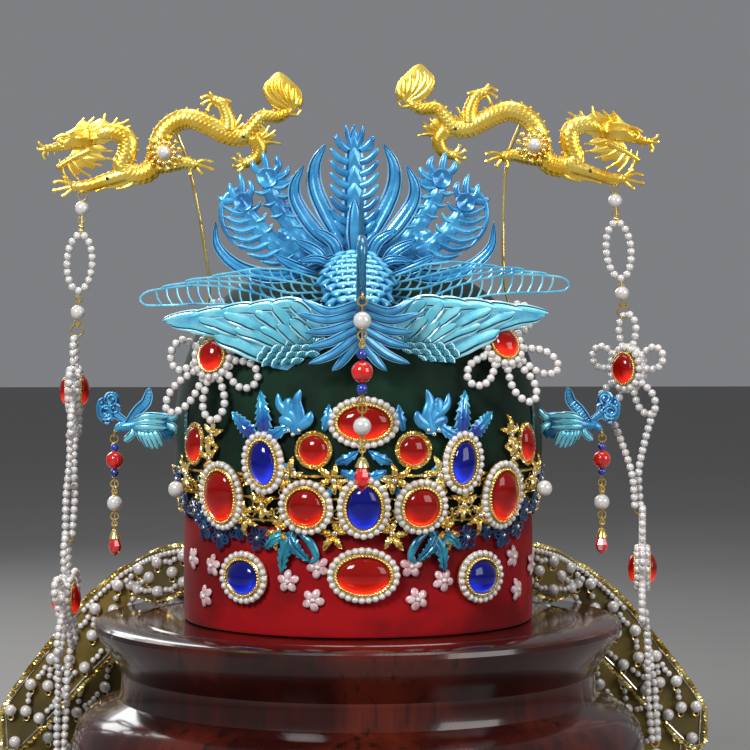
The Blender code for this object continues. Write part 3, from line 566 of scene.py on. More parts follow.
def velvet(name, deep, light):
    """Short velvet pile whose colour clouds a little."""
    f = Finish(name)
    cloud, pile = f.noise(28.0, 3.0), f.noise(2600.0, 2.0, 0.7)
    colour = f.mix(cloud.span(0.38, 0.66) * 0.7 + pile * 0.3, deep, light)
    normal = f.bump(pile + cloud * 0.5, 0.35, 0.0003)
    return f.surface(
        colour, 0.85, 0.0, normal, sheen_weight=0.10, sheen_roughness=0.35, specular_ior_level=0.2,
    )


def metal(name, dull, bright, roughness, dents=0.15, metallic=1.0):
    """Thin cast or stamped metal with worn brighter places."""
    f = Finish(name)
    cloud, fine = f.noise(70.0, 3.0), f.noise(900.0, 2.0)
    colour = f.mix(cloud.span(0.3, 0.7), dull, bright)
    return f.surface(colour, roughness + fine * 0.12, metallic, f.bump(fine + cloud, dents))


def pearl():
    """Pearl, off white with a faint rose and green cast, under a clear skin."""
    f = Finish("pearl")
    cast = f.noise(160.0, 1.0)
    colour = f.ramp(cast, (0.3, (0.60, 0.55, 0.53)), (0.5, (0.72, 0.68, 0.65)), (0.7, (0.58, 0.59, 0.58)))
    normal = f.bump(f.noise(700.0, 2.0), 0.04)
    return f.surface(colour, 0.20, 0.12, normal, coat_weight=0.8, coat_roughness=0.07)


def cabochon(name, deep, body, painted_glow):
    """A foiled glass stone with painted light: painted shade over its top and a painted glow through to its
    lower edge, also given off as emission.
    """
    f = Finish(name)
    x, y = f.flat()
    # Painted shade and light: this share grows towards the stone's lower part, where the body colour
    # replaces the dark top colour.
    low = (1 - y).span(0.42, 0.98)
    edge = ((x - 0.5) ** 2 + (y - 0.5) ** 2).span(0.04, 0.24)
    # Painted glow: a crescent towards the lower edge, away from the middle, takes the glow colour.
    painted_light_share = low * edge
    haze = f.noise(90.0, 2.0) * 0.12
    colour = f.mix(painted_light_share + haze, f.mix(low, deep, body), painted_glow)
    # The painted glow is also given off as emission.
    painted_glow_colour = f.mix(painted_light_share * 0.8 + low * 0.15 + 0.05, (0, 0, 0), painted_glow)
    return f.surface(
        colour, 0.06 + haze * 0.1, 0.0, emission_color=painted_glow_colour, emission_strength=0.5, coat_weight=0.2,
        coat_roughness=0.02, specular_ior_level=0.3,
    )


def glass(name, deep, light, painted_glow=0.0):
    """Clear coloured glass over foil, without the stones' painted lit edge, giving off its own colour as a
    faint painted glow.
    """
    f = Finish(name)
    cloud = f.noise(240.0, 2.0)
    colour = f.mix(cloud.span(0.3, 0.7), deep, light)
    # Painted glow: the glass gives off its own colour as emission.
    return f.surface(
        colour, 0.05 + cloud * 0.05, 0.0, emission_color=colour, emission_strength=painted_glow, coat_weight=1.0,
        coat_roughness=0.02,
    )


def feather_enamel(name, groove, body, crest, rim):
    """Enamel on a ridged feather: a dark line of painted shade in its channel and towards its foot, a satin
    body with a painted highlight down its middle, a light rim of painted highlight, and fine barbs.
    """
    f = Finish(name)
    x, y = f.flat()
    across = (x * 2 - 1).absolute()
    cloud = f.noise(120.0, 2.0)
    # Painted highlight: the body colour grows towards the crest colour down the feather's middle, with
    # clouds that differ at random.
    body_with_painted_crest = f.mix(cloud.span(0.35, 0.7) * 0.7 + (1 - across) * 0.3, body, crest)
    # Painted shade: the groove colour lies along the channel inside the raised rim.
    colour = f.mix(across.span(0.52, 0.60) * (1 - across.span(0.72, 0.80)), body_with_painted_crest, groove)
    # Painted highlight: the rim colour lies along the raised rim.
    colour = f.mix(across.span(0.76, 0.86) * (1 - across.span(0.93, 1.0) * 0.6), colour, rim)
    # Painted shade: the groove colour darkens the feather towards its foot.
    colour = f.mix((1 - y.span(0.0, 0.3)) * 0.45, colour, groove)
    barbs = (y * 160 + across * 14).sine() * (1 - across.span(0.5, 0.62))
    return f.surface(
        colour, 0.27, 0.35, f.bump(barbs * 0.4 + cloud, 0.25, 0.0001), coat_weight=0.6, coat_roughness=0.08,
    )


def plain_enamel(name, deep, light, metallic=0.35):
    """Enamel over stamped metal, deeper in places."""
    f = Finish(name)
    cloud, fine = f.noise(85.0, 3.0), f.noise(700.0, 2.0)
    colour = f.mix(cloud.span(0.3, 0.68), deep, light)
    return f.surface(
        colour, 0.24 + fine * 0.08, metallic, f.bump(fine, 0.12, 0.0001), coat_weight=0.6,
        coat_roughness=0.08,
    )


def fan_enamel():
    """Enamel on small fan scales: rays from their foot, painted shade towards the foot and a white edge of
    painted highlight.
    """
    f = Finish("fan_enamel")
    x, y = f.flat()
    rays = ((x - 0.5) * 38).sine().span(-0.4, 0.7)
    # Painted shade: dark towards each scale's foot, with rays further up.
    body = f.mix(rays * y.span(0.1, 0.6), (0.006, 0.13, 0.22), (0.10, 0.55, 0.66))
    # Painted highlight: a white band along the round edge.
    colour = f.mix(y.span(0.84, 0.94), body, (0.62, 0.93, 0.98))
    return f.surface(colour, 0.25, 0.3, f.bump(rays, 0.5, 0.0002), coat_weight=0.6, coat_roughness=0.08)


def brocade():
    """Stiff gold cloth, olive in the shade, with a fine twill and darker clouds."""
    f = Finish("gold_brocade")
    cloud = f.noise(22.0, 4.0)
    x, y = f.flat()
    twill = (x * 900 + y * 2600).sine() * 0.5 + 0.5
    colour = f.mix(cloud.span(0.36, 0.66), (0.025, 0.018, 0.003), (0.20, 0.13, 0.018))
    colour = f.mix(twill * 0.35, colour, (0.34, 0.25, 0.05))
    return f.surface(colour, 0.5, 0.45, f.bump(twill + cloud, 0.3, 0.0002), sheen_weight=0.2)


def scale_enamel():
    """Satin enamel on the body's scales: a painted highlight in the middle and painted shade at their sides
    and feet.
    """
    f = Finish("scale_enamel")
    x, y = f.flat()
    # Painted shade at each scale's sides and foot, painted highlight in its middle.
    side = (x * 2 - 1).absolute().span(0.25, 0.95)
    painted_light_share = (1 - side) * y.span(0.15, 0.75)
    colour = f.mix(painted_light_share + f.noise(120.0, 2.0) * 0.15, (0.012, 0.15, 0.36), (0.16, 0.62, 0.86))
    return f.surface(
        colour, 0.27, 0.3, f.bump(f.noise(500.0, 2.0), 0.1, 0.0001), coat_weight=0.5, coat_roughness=0.08,
    )


def leaf_enamel():
    """Glass-like enamel that runs from violet to deep blue to cyan towards the tip."""
    f = Finish("leaf_enamel")
    x, y = f.flat()
    cloud = f.noise(140.0, 3.0)
    share = y * 0.7 + cloud * 0.45
    colour = f.ramp(
        share, (0.2, (0.02, 0.012, 0.16)), (0.5, (0.012, 0.07, 0.40)), (0.8, (0.03, 0.40, 0.66)),
    )
    edge = (x * 2 - 1).absolute().span(0.72, 1.0)
    colour = f.mix(edge * 0.8, colour, (0.20, 0.66, 0.86))
    return f.surface(colour, 0.14, 0.25, f.bump(cloud, 0.2, 0.0002), coat_weight=1.0, coat_roughness=0.04)


def make_finishes():
    """All finishes of the crown, by plain name."""
    return {
        "wood": rosewood(),
        "green": velvet("green_velvet", (0.001, 0.007, 0.0035), (0.006, 0.030, 0.015)),
        "scarlet": velvet("red_velvet", (0.12, 0.0005, 0.002), (0.36, 0.002, 0.005)),
        "gold": metal("gold", (0.86, 0.56, 0.13), (1.0, 0.82, 0.36), 0.18, 0.15, 0.9),
        "silver": metal("silver", (0.62, 0.60, 0.55), (0.9, 0.88, 0.82), 0.14),
        "pearl": pearl(),
        # Stones: the first colour is painted shade over the top, the last a painted glow at the lower edge.
        "red": cabochon("red_glass", (0.16, 0.0, 0.0), (0.55, 0.002, 0.002), (1.0, 0.03, 0.01)),
        "blue": cabochon("blue_glass", (0.001, 0.001, 0.07), (0.004, 0.006, 0.30), (0.02, 0.05, 0.95)),
        # Ruby and cobalt give off a faint painted glow; coral and pink do not.
        "ruby": glass("ruby_glass", (0.30, 0.004, 0.006), (0.75, 0.02, 0.02), 0.12),
        "cobalt": glass("cobalt_glass", (0.004, 0.008, 0.10), (0.02, 0.05, 0.42), 0.05),
        "coral": glass("coral", (0.50, 0.006, 0.004), (0.70, 0.02, 0.01)),
        "pink": glass("pink_crystal", (0.52, 0.26, 0.28), (0.78, 0.60, 0.61)),
        # Feather enamels: painted shade in the channel, the body, a painted highlight on the crest and a
        # painted highlight on the rim.
        "sky": feather_enamel(
            "sky_enamel", (0.002, 0.035, 0.08), (0.09, 0.58, 0.80), (0.30, 0.82, 0.94), (0.55, 0.92, 1.0),
        ),
        "azure": feather_enamel(
            "azure_enamel", (0.006, 0.05, 0.19), (0.03, 0.27, 0.58), (0.09, 0.46, 0.80), (0.28, 0.70, 0.95),
        ),
        "azure_plain": plain_enamel("azure_plain", (0.02, 0.18, 0.44), (0.07, 0.42, 0.76)),
        "sky_plain": plain_enamel("sky_plain", (0.05, 0.38, 0.66), (0.24, 0.72, 0.92)),
        "navy": plain_enamel("navy_enamel", (0.004, 0.02, 0.08), (0.012, 0.08, 0.22)),
        "neck": plain_enamel("neck_enamel", (0.006, 0.05, 0.12), (0.03, 0.20, 0.36)),
        "fan": fan_enamel(),
        "leaf": leaf_enamel(),
        "scale": scale_enamel(),
        "teal": plain_enamel("teal_enamel", (0.004, 0.10, 0.20), (0.03, 0.34, 0.46)),
        "bright_gold": metal("bright_gold", (0.90, 0.52, 0.04), (1.0, 0.76, 0.16), 0.26, 0.2, 0.82),
        "braid": metal("braid_gold", (0.30, 0.18, 0.02), (1.0, 0.84, 0.36), 0.22, 0.9),
        "brocade": brocade(),
        "black": plain_enamel("black_gloss", (0.004, 0.004, 0.004), (0.012, 0.012, 0.012), 0.0),
    }


def piece(name, shapes, finish, replaces=(), smooth=45.0):
    """Makes a finished piece of shapes in millimetres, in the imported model's frame."""
    shape = joined(shapes)
    mesh = bpy.data.meshes.new(name)
    faces = [row for indices, _ in shape.faces.values() for row in indices.tolist()]
    mesh.from_pydata(((shape.points + (0, 0, STAND_HEIGHT)) * MM).tolist(), [], faces)
    flat = np.concatenate([flat.reshape(-1, 2) for _, flat in shape.faces.values()])
    mesh.uv_layers.new(name="flat").data.foreach_set("uv", flat.ravel())
    mesh.materials.append(finish)
    obj = bpy.data.objects.new(name, mesh)
    bpy.context.scene.collection.objects.link(obj)
    bpy.ops.object.select_all(action="DESELECT")
    obj.select_set(True)
    bpy.context.view_layer.objects.active = obj
    bpy.ops.object.shade_smooth_by_angle(angle=math.radians(smooth))
    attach(obj, "root")
    if replaces:
        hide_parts(*replaces)
    return obj


def set_stage():
    """The camera at the photograph's angle, soft lights and a plain grey floor."""
    camera = bpy.data.cameras.new("camera")
    camera.lens, camera.sensor_width = 117.07, 36.0
    camera.clip_start, camera.clip_end = 0.05, 20.0
    eye = bpy.data.objects.new("camera", camera)
    eye.location = (-0.0364, -1.2995, 0.2936)
    ahead = Vector((0.0349, 0.9994, -math.tan(math.radians(1.53))))
    eye.rotation_euler = ahead.to_track_quat("-Z", "Y").to_euler()
    bpy.context.scene.collection.objects.link(eye)
    bpy.context.scene.camera = eye
    lamps = (
        ("key", (-0.7, -1.2, 1.15), 0.45, 24.0), ("fill", (1.1, -0.9, 0.7), 0.8, 9.0),
        ("top", (0.1, 0.1, 1.5), 0.8, 12.0), ("back", (-0.6, 1.1, 0.9), 0.7, 8.0),
    )
    for name, at, wide, power in lamps:
        lamp = bpy.data.lights.new(name, "AREA")
        lamp.energy, lamp.size = power, wide
        holder = bpy.data.objects.new(name, lamp)
        holder.location = at
        holder.rotation_euler = (Vector((0, 0, 0.25)) - Vector(at)).to_track_quat("-Z", "Y").to_euler()
        bpy.context.scene.collection.objects.link(holder)
    world = bpy.data.worlds.new("studio")
    world.use_nodes = True
    world.node_tree.nodes["Background"].inputs["Color"].default_value = (0.80, 0.82, 0.86, 1)
    world.node_tree.nodes["Background"].inputs["Strength"].default_value = 0.26
    bpy.context.scene.view_settings.view_transform = "Standard"
    bpy.context.scene.world = world
    floor = start_from("grid", x_subdivisions=4, y_subdivisions=4, size=12.0, location=(0, 2.0, 0))
    floor.name = "floor"
    f = Finish("plain_floor")
    floor.data.materials.append(
        f.surface(f.mix(f.noise(3.0), (0.20, 0.195, 0.19), (0.23, 0.225, 0.22)), 0.7)
    )


def make_stand(finish):
    """The turned stand, with its cove, bulge and grooved top."""
    piece("stand_turned", [turned(STAND_ROWS, 144)], finish["wood"], ["stand"], 32)


def make_cap(finish):
    """The velvet cap and the red band round its foot."""
    line = Path([(r, 0, z) for r, z in CAP_ROWS])

    def wall(u, v):
        r, z = line.at(v)[:, 0] * CAP_SHRINK, line.at(v)[:, 2]
        angle = math.tau * u
        return np.stack([r * np.sin(angle), -r * np.cos(angle), z], axis=-1)

    piece("cap_velvet", [grid(112, 48, wall, CAP_WALL)], finish["green"], ["cap_shell"], 60)
    mid = (BAND_INNER + BAND_OUTER) / 2
    half = (BAND_OUTER - BAND_INNER) / 2

    def band(u, v):
        angle, round_it = math.tau * u, math.tau * v
        r = mid - 0.1 + half * np.sign(np.cos(round_it)) * np.abs(np.cos(round_it)) ** 0.5
        tall = (BAND_TOP - BAND_LOW) / 2
        z = BAND_LOW + tall + tall * np.sign(np.sin(round_it)) * np.abs(np.sin(round_it)) ** 0.25
        return np.stack([r * np.sin(angle), -r * np.cos(angle), z], axis=-1)

    piece("band_velvet", [grid(112, 32, band)], finish["scarlet"], ["head_band"], 50)


def oval(wide, tall, height, inset=0.0):
    """A closed oval path in a seat's own frame."""
    angles = np.arange(16) * math.tau / 16
    return Path(
        [((wide - inset) * math.cos(a), (tall - inset) * math.sin(a), height) for a in angles], closed=True,
    )


def stone_shape(wide, tall, rise, low):
    """A polished dome, cut off flat at its back."""
    obj = start_from("uv_sphere", segments=32, ring_count=20, radius=1.0)

    def cut():
        bpy.ops.mesh.bisect(plane_co=(0, 0, -0.3), plane_no=(0, 0, 1), use_fill=True, clear_inner=True)
        bpy.ops.mesh.select_all(action="SELECT")
        bpy.ops.transform.resize(value=(wide, tall, rise), center_override=(0, 0, 0))
        bpy.ops.transform.translate(value=(0, 0, low))

    edit(cut)
    shape = captured(obj)
    return shape.flattened(lambda p: np.stack([p[:, 0] / wide, p[:, 1] / tall], axis=-1) / 2 + 0.5)


def rope_ring(wide, tall, height, thick):
    """Two wires twisted round each other along an oval."""
    base, twists = oval(wide, tall, height), 26
    shares = np.linspace(0, 1, 157)[:-1]
    centre, ahead = base.at(shares), base.heading(shares)
    side = np.cross(ahead, (0, 0, 1))
    strands = []
    for start in (0, math.pi):
        angle = shares * math.tau * twists / 2 + start
        strands.append(
            centre + side * (np.cos(angle) * thick)[:, None]
            + np.array(UP) * (np.sin(angle) * thick)[:, None]
        )
    return wires(strands, thick * 0.95, closed=True, roundness=0)


def make_jewels(finish, grain, round_bead):
    """The stones round the cap and on the band, in their gold cups with rims of pearls or rope."""
    for name, azimuth, height, wide, tall, turn, rim, glass_name, lift in JEWELS:
        place = on_cap(azimuth, height, lift, turn)
        if rim == "pearl":
            cup = turned([(wide - inset, tall - inset, z) for inset, z in PEARL_CUP], 40)
            teeth = strung(oval(wide, tall, 3.5, 4.5), CUP_GRAIN, grain, closed=True)
            piece(
                f"{name}_cup", [cup.at(place), teeth.at(place)], finish["gold"],
                [f"{name}_setting"],
            )
            pearls = strung(oval(wide, tall, 2.05, RIM_PEARL), RIM_PEARL, round_bead, closed=True)
            piece(f"{name}_rim_pearls", [pearls.at(place)], finish["pearl"])
            rise = STONE_RISE * (min(wide, tall) - STONE_INSET) + STONE_SKIRT
            dome = stone_shape(wide - STONE_INSET, tall - STONE_INSET, rise, STONE_GIRDLE)
            piece(
                f"{name}_cabochon", [dome.at(place)], finish[glass_name],
                [f"{name}_stone"],
            )
        else:
            cup = turned([(wide - inset, tall - inset, z) for inset, z in SMALL_CUP], 36)
            teeth = strung(oval(wide, tall, 1.7, 2.3), SMALL_CUP_GRAIN, grain, closed=True)
            shapes = [cup, rope_ring(wide - 0.95, tall - 0.95, 1.7, 0.5), teeth]
            piece(f"{name}_cup", [s.at(place) for s in shapes], finish["gold"])
            rise = STONE_RISE * (wide - SMALL_STONE_FOOT) + STONE_SKIRT
            dome = stone_shape(wide - SMALL_STONE_INSET, tall - SMALL_STONE_INSET, rise, SMALL_STONE_GIRDLE)
            piece(
                f"{name}_cabochon", [dome.at(place)], finish[glass_name],
                [f"{name}_jewel"],
            )


def petal_loop(angle, reach, wide, start=FLOWER_HEART[0]):
    """The closed line of a petal, in a flower that faces -Y."""
    a = math.radians(angle)
    ahead, side = np.array((math.cos(a), 0, math.sin(a))), np.array((-math.sin(a), 0, math.cos(a)))
    rows = ((0.02, 0.22), (0.30, 0.72), (0.62, 0.98), (0.88, 0.66), (0.985, 0.0))
    rows += tuple((t, -w) for t, w in rows[-2::-1])
    return Path(
        [ahead * (start + (reach - start - 1.0) * t) + side * (wide - BEAD) * 1.1 * w for t, w in rows],
        closed=True,
    )


def flower_shapes(petals, bead, two_sided):
    """Bead loops round a red stone: the beads, the gold and the stones, in a flower that faces -Y."""
    pearls = [strung(petal_loop(*petal), BEAD, bead, closed=True) for petal in petals]
    wide, tall = FLOWER_HEART
    gold, stones, grain = [], [], ball(1)
    for side in (1, -1) if two_sided else (1,):
        place = spin(0 if side > 0 else 180) @ FACING_FRONT
        for height, inset in ((2.4, -2.0), (0.2, -2.6)):
            pearls.append(strung(oval(wide, tall, height, inset), BEAD * 0.94, bead, closed=True).at(place))
        rows = [(0.6, 0.2), (0.2, 3.6), (0.6, 4.3), (1.3, 4.2), (1.8, 3.6)]
        gold.append(turned([(wide - inset, tall - inset, z) for inset, z in rows], 28).at(place))
        gold.append(strung(oval(wide, tall, 4.1, 0.5), 0.62, grain, closed=True).at(place))
        stones.append(stone_shape(wide - 1.3, tall - 1.3, 3.6, 4.2).at(place))
    return pearls, gold, stones


def make_cap_flowers(finish, bead):
    """The bead flowers that stand on short stems on the sides of the cap."""
    for side, (azimuth, height, petals) in CAP_FLOWERS.items():
        radius, lean = cap_at(height)
        turn = spin(math.copysign(CAP_FLOWER_TURN, -azimuth))
        place = seat(azimuth, height, radius, lean, 0, CAP_FLOWER_LIFT) @ FACING_FRONT.inverted()
        pearls, gold, stones = flower_shapes(petals, bead, two_sided=False)
        stem = wires([[(0, -1, 0), (0, CAP_FLOWER_LIFT - 0.2, 0)]], 1.1)
        name = f"cap_flower_{side}"
        piece(f"{name}_beads", [s.at(place @ turn) for s in pearls], finish["pearl"], [name])
        piece(f"{name}_gold", [stem.at(place)] + [s.at(place @ turn) for s in gold], finish["gold"])
        piece(f"{name}_cabochon", [s.at(place @ turn) for s in stones], finish["red"])


def make_strings(finish, bead, round_bead):
    """The long strings: ring, pearl, loop, pearl, flower, two strands, flower, two strands and a drop."""
    for side, row in STRINGS.items():
        def at(down, offset=0.0, turn=0.0):
            a = math.radians(turn)
            spread = np.array((math.cos(a), math.sin(a), 0)) * offset
            return np.array((row["drift"] * down / STRING_END, 0, -down)) + spread

        def hoop(radius, down):
            return ring(radius, WIRE).at(Matrix.Translation(at(down)) @ FACING_FRONT)

        loop, pearl_at, flowers = row["loop"], row["pearl"], row["flowers"]
        gold = [hoop(2.4, 0), hoop(1.7, 12.6), hoop(1.7, loop + 19.0)]
        gold += [hoop(1.6, pearl_at + 5.6), hoop(3.2, pearl_at + 9.4)]
        gold.append(wires([[at(2.2), at(17)], [at(loop + 13), at(pearl_at + 4)]], WIRE))
        gold.append(beads([at(16.2), at(18.2)], 1.5, bead))
        pearls = [beads([at(6.5), at(pearl_at)], BIG_BEAD, round_bead)]
        angles = np.arange(12) * math.tau / 12
        oval_line = Path(
            [at(loop + 14.8 * math.cos(a)) + (6.6 * math.sin(a), 0, 0) for a in angles], closed=True,
        )
        pearls.append(strung(oval_line, BEAD, bead, closed=True))
        stones = []
        first, second = flowers
        for (down, reach, turn), low in ((first, second[0] - second[1] + 2), (second, STRING_END - 6)):
            petals = [(90 + 72 * k, reach if k in (0, 2, 3) else reach * 0.86, 7.4) for k in range(5)]
            place = Matrix.Translation(at(down)) @ spin(turn)
            made = flower_shapes(petals, bead, two_sided=True)
            for kept, shapes in zip((pearls, gold, stones), made):
                kept.extend(s.at(place) for s in shapes)
            for sign in (-1, 1):
                points = [
                    at(down + reach * 0.72, sign * reach * 0.52, turn),
                    at(down + reach + 6, sign * reach * 0.3, turn),
                    at((down + reach + 6 + low) / 2, sign * 2.6, 35), at(low, sign * 2.0, 35),
                ]
                pearls.append(strung(Path(points), BEAD, bead))
            gold.append(hoop(2.0, low + 0.5))
        pearls.append(beads([at(STRING_END + 1)], BIG_BEAD, round_bead))
        gold.append(turned(STRING_DROP_CAP, 12).at(Matrix.Translation(at(STRING_END + 6.6))))
        stones.append(turned(STRING_DROP, 10).at(Matrix.Translation(at(STRING_END + 8.6))))
        place = move(*row["at"])
        name = f"bead_string_{side}"
        piece(f"{name}_beads", [s.at(place) for s in pearls], finish["pearl"], [name])
        piece(f"{name}_gold", [s.at(place) for s in gold], finish["gold"])
        piece(f"{name}_stones", [s.at(place) for s in stones], finish["red"])


def plate(outline, thick, holes=(), edge=0.25):
    """A flat cut-out that faces -Y, with round edges and holes, from smooth closed lines in XZ."""
    curve = bpy.data.curves.new("plate", "CURVE")
    curve.dimensions, curve.fill_mode = "2D", "BOTH"
    curve.extrude, curve.bevel_depth, curve.bevel_resolution = thick / 2 - edge, edge, 1
    for points in (outline, *holes):
        spline = curve.splines.new("POLY")
        spline.points.add(len(points) - 1)
        for point, (x, z) in zip(spline.points, points):
            point.co = (x, z, 0, 1)
        spline.use_cyclic_u = True
    obj = bpy.data.objects.new("plate", curve)
    bpy.context.scene.collection.objects.link(obj)
    bpy.ops.object.select_all(action="DESELECT")
    obj.select_set(True)
    bpy.context.view_layer.objects.active = obj
    bpy.ops.object.convert(target="MESH")
    edit(lambda: bpy.ops.mesh.remove_doubles(threshold=0.002))
    return captured(bpy.context.object).at(FACING_FRONT)


def smooth_outline(points, count):
    """A smooth closed outline through a few (x, z) points."""
    line = Path([(x, z, 0) for x, z in points], closed=True)
    return [tuple(p[:2]) for p in line.at(np.arange(count) / count)]


def pointed(half, start=0.5):
    """Half width of a feather that swells from its foot and ends in a point."""
    return lambda v: half * np.minimum(1, start + 1.3 * v) * np.maximum(0, 1 - v ** 4) ** 0.75


def rounded(half, start=0.7):
    """Half width of a feather with a round tip."""
    return lambda v: half * np.minimum(1, start + 0.9 * v) * np.maximum(0, 1 - v ** 6) ** 0.5


def ridged(height, groove=False):
    """Relief of a feather: a raised rim, a fine channel inside it and a swelling body."""
    across = (0, 0.12, 0.3, 0.5, 0.62, 0.70, 0.80, 0.92, 1)
    heights = (0.35 if groove else 1.0, 0.75 if groove else 0.98, 0.95, 0.8, 0.6, 0.35, 0.85, 0.8, 0.1)
    return lambda a, v: height * np.interp(a, across, heights)


def both_sides(shapes, place):
    """Right-hand shapes and their mirror images, at one place."""
    made = joined(shapes)
    return [made.at(place), made.at(place @ MIRROR)]


# Phoenix: its place, its turn about Z and the roll of each pair of wings.
PHOENIX = move(-3.0, -78.0, 174.0) @ spin(1.5)
FRONT_SEAT, NET_SEAT = PHOENIX @ spin(-1.0, "Y"), PHOENIX @ spin(-2.0, "Y")
TAIL_SEAT = PHOENIX @ move(y=20)
BODY_ROWS = [
    (0, 12, 14, 11, 5.5), (0, 0, 4, 18, 7.2), (0, -12, -8, 15.5, 6.6), (0, -20, -22, 10, 7.0),
    (0, -20, -33, 4.5, 4.5),
]
NECK = [(0, -19, -20), (0, -31, -20), (0, -40, -8), (0, -43, 6), (0, -44, 19)]
BEAK = [(0, -47, 22), (0, -53, 18), (0, -53.5, 6), (0, -50.5, -3.4)]
CHEST = [
    ((1.4, -37, -8), (15, -27, -11.5), (28, -16, -5)), ((1.4, -36, -12), (16, -27, -15.5), (31, -17, -12)),
    ((1.4, -35, -16), (14, -28, -20.5), (27, -20, -21.5)),
    ((1.4, -34, -19.5), (14, -28, -26), (25.5, -22, -29)),
    ((1.4, -32, -23), (13, -28, -32), (25, -24, -37)), ((1.4, -30, -26), (8, -27, -35), (13.5, -25, -40.5)),
]
# Wings: x, y, upper and lower edge of each station, from the shoulder out.
FRONT_WING = [
    (16.8, -11.5, -11, -28), (24, -11, -5, -36), (33, -10.5, -6, -40), (42, -9, -7, -38.5),
    (50, -7, -8.3, -34),
    (60, -4, -9, -27.5), (72, 0, -10.4, -21.6), (84, 3, -12.2, -17.4), (95, 5, -13.8, -15.2),
]
FRONT_LEAN = 0.17
# Feathers of the front wing: tip, foot, half width and lift off the wing.
WING_FEATHERS = [
    (97.4, -14.0, 66.0, -13.4, 1.9, 0.3), (84.0, -12.6, 52.0, -12.6, 2.4, 0.5),
    (70.0, -10.6, 42.0, -10.8, 2.4, 0.7), (56.0, -9.0, 32.0, -9.6, 2.4, 0.8),
    (44.0, -7.6, 24.0, -8.6, 2.4, 1.0), (94.0, -15.2, 68.0, -20.6, 3.0, 0.5),
    (79.6, -13.0, 59.0, -20.4, 3.4, 0.8), (67.0, -11.1, 48.0, -18.8, 3.4, 1.1),
    (85.6, -17.8, 58.0, -24.6, 2.6, 0.4), (51.3, -10.2, 38.0, -19.0, 3.0, 1.3),
    (42.2, -7.6, 33.0, -18.0, 2.9, 1.6), (33.5, -6.4, 24.0, -14.5, 2.8, 1.9),
    (71.6, -21.9, 44.5, -33.0, 4.3, 1.0), (61.4, -18.8, 37.0, -27.6, 3.4, 1.6),
    (48.9, -18.4, 34.5, -26.6, 2.6, 2.0), (40.1, -16.7, 30.6, -25.6, 2.6, 2.3),
    (34.2, -14.6, 24.0, -24.0, 2.8, 2.6), (25.8, -15.4, 18.0, -21.5, 2.6, 2.9),
]
NET_WING = [
    (17.4, 2.5, 5, -7), (34, 2, 11, -13), (50, 2.5, 12, -9), (65, 4, 10, -5.5), (80, 6, 8.4, -4.5),
    (95, 8, 5.2, -5.0), (109, 9, 1.4, -4.2),
]
NET_ENDS = (72.0, 86.0, 98.0, 108.6)
# Fan blades on the right side: half width, then the points of the middle line.
FAN_BLADES = [
    (4.8, ((3, 0, 18), (11, 1, 32), (19.5, 1, 50), (20, 0, 63), (14.5, -2, 74))),
    (4.4, ((4, -1, 18), (18, -2, 28), (28.5, -2, 42), (30.5, -3, 52), (26, -5, 63))),
    (4.2, ((5, -2, 18), (35, -3, 7), (56, -3, 10), (69, -4, 21), (70.5, -5, 34.5))),
    (3.4, ((7, -3, 12), (10, -6, 22), (15, -7, 27), (21, -7, 30))),
    (3.3, ((13, -4, 11), (20, -7, 19), (31, -8, 25))),
    (3.2, ((20, -5, 8), (30, -8, 11), (41, -8, 17))), (2.6, ((10, -5, 11), (19, -8, 15), (29, -9, 14))),
]
# Plumes on the right side: half width and middle line of each stem, then barbs, rim, bosses and
# spikes, all as (x, z).
PLUME_STEMS = [
    (4.6, (14, 14), (24, 15), (35.5, 19.5), (46, 28), (52, 36), (56.6, 44), (58, 48)),
    (4.6, (10, 16), (22, 21), (29.5, 29), (37, 39.5), (42, 48.5), (44.4, 57), (44.6, 61)),
    (5.0, (6, 15), (18, 18.5), (30, 23.5), (39, 30)),
]
PLUME_BARBS = [
    ((52, 40), (66.4, 42), 2.0), ((51, 36), (66.4, 37), 2.0), ((49, 32), (65.2, 32), 2.0),
    ((46, 28), (63, 27), 2.0), ((42, 24.4), (59.6, 22.4), 1.9), ((37, 20.6), (54.6, 18), 1.9),
    ((31, 17.6), (48, 14.4), 1.7), ((54, 40), (47.4, 44.6), 1.4), ((50, 34), (44.6, 39), 1.4),
    ((46, 28.4), (41.6, 33.4), 1.3), ((43, 50), (50.6, 49.4), 1.4), ((40, 44.6), (47, 43), 1.4),
    ((36.6, 38.6), (42.6, 37), 1.3), ((44, 56), (34.4, 58.6), 1.6), ((42.6, 52), (32.6, 54), 1.6),
    ((40.6, 47.6), (30.6, 49.4), 1.6), ((38, 42.6), (28.2, 44.4), 1.5), ((35, 37.6), (25.6, 39.4), 1.5),
    ((31.6, 32.4), (22.6, 34), 1.4),
]
PLUME_RIM = [(59, 51), (64.4, 48), (67.2, 42.6), (67.4, 36), (65.4, 29.6), (61, 23.6), (56, 19.4)]
PLUME_BOSSES = [(44.4, 56.4, 5.4), (56.6, 44.2, 5.2)]
PLUME_SPIKES = [
    ((41, 59), (38.4, 63), (40.2, 68)), ((44.6, 60), (45.4, 65), (46.6, 70)),
    ((48, 59), (50.8, 61.4), (51.8, 65.4)), ((39.6, 57), (35, 58.6), (33.4, 62.6)),
    ((40, 54), (33, 54.6), (28.4, 59)), ((57, 47), (57, 53), (58.4, 59)),
    ((60, 46), (62.4, 49), (63.4, 54)), ((61, 45), (65.4, 44.8), (69.4, 46.6)),
    ((53.6, 47), (52.2, 51), (53.4, 55.4)),
]


def wing_rows(rows, x):
    """Depth and the upper and lower edge of a wing at x."""
    table = np.array(rows).T
    return [np.interp(x, table[0], column) for column in table[1:]]


def fan_scale():
    """One small fan scale, its foot at the origin and its round edge up, facing -Y, a unit wide each way."""
    def place(u, v):
        angle = (u - 0.5) * 2.1
        reach = v * 1.5
        bulge = 0.34 * np.sin(math.pi * np.clip(v * 0.9, 0, 1))
        return np.stack([np.sin(angle) * reach, -bulge - 0.28 * v, np.cos(angle) * reach - 0.4], axis=-1)

    return grid(10, 5, place, 0.22)


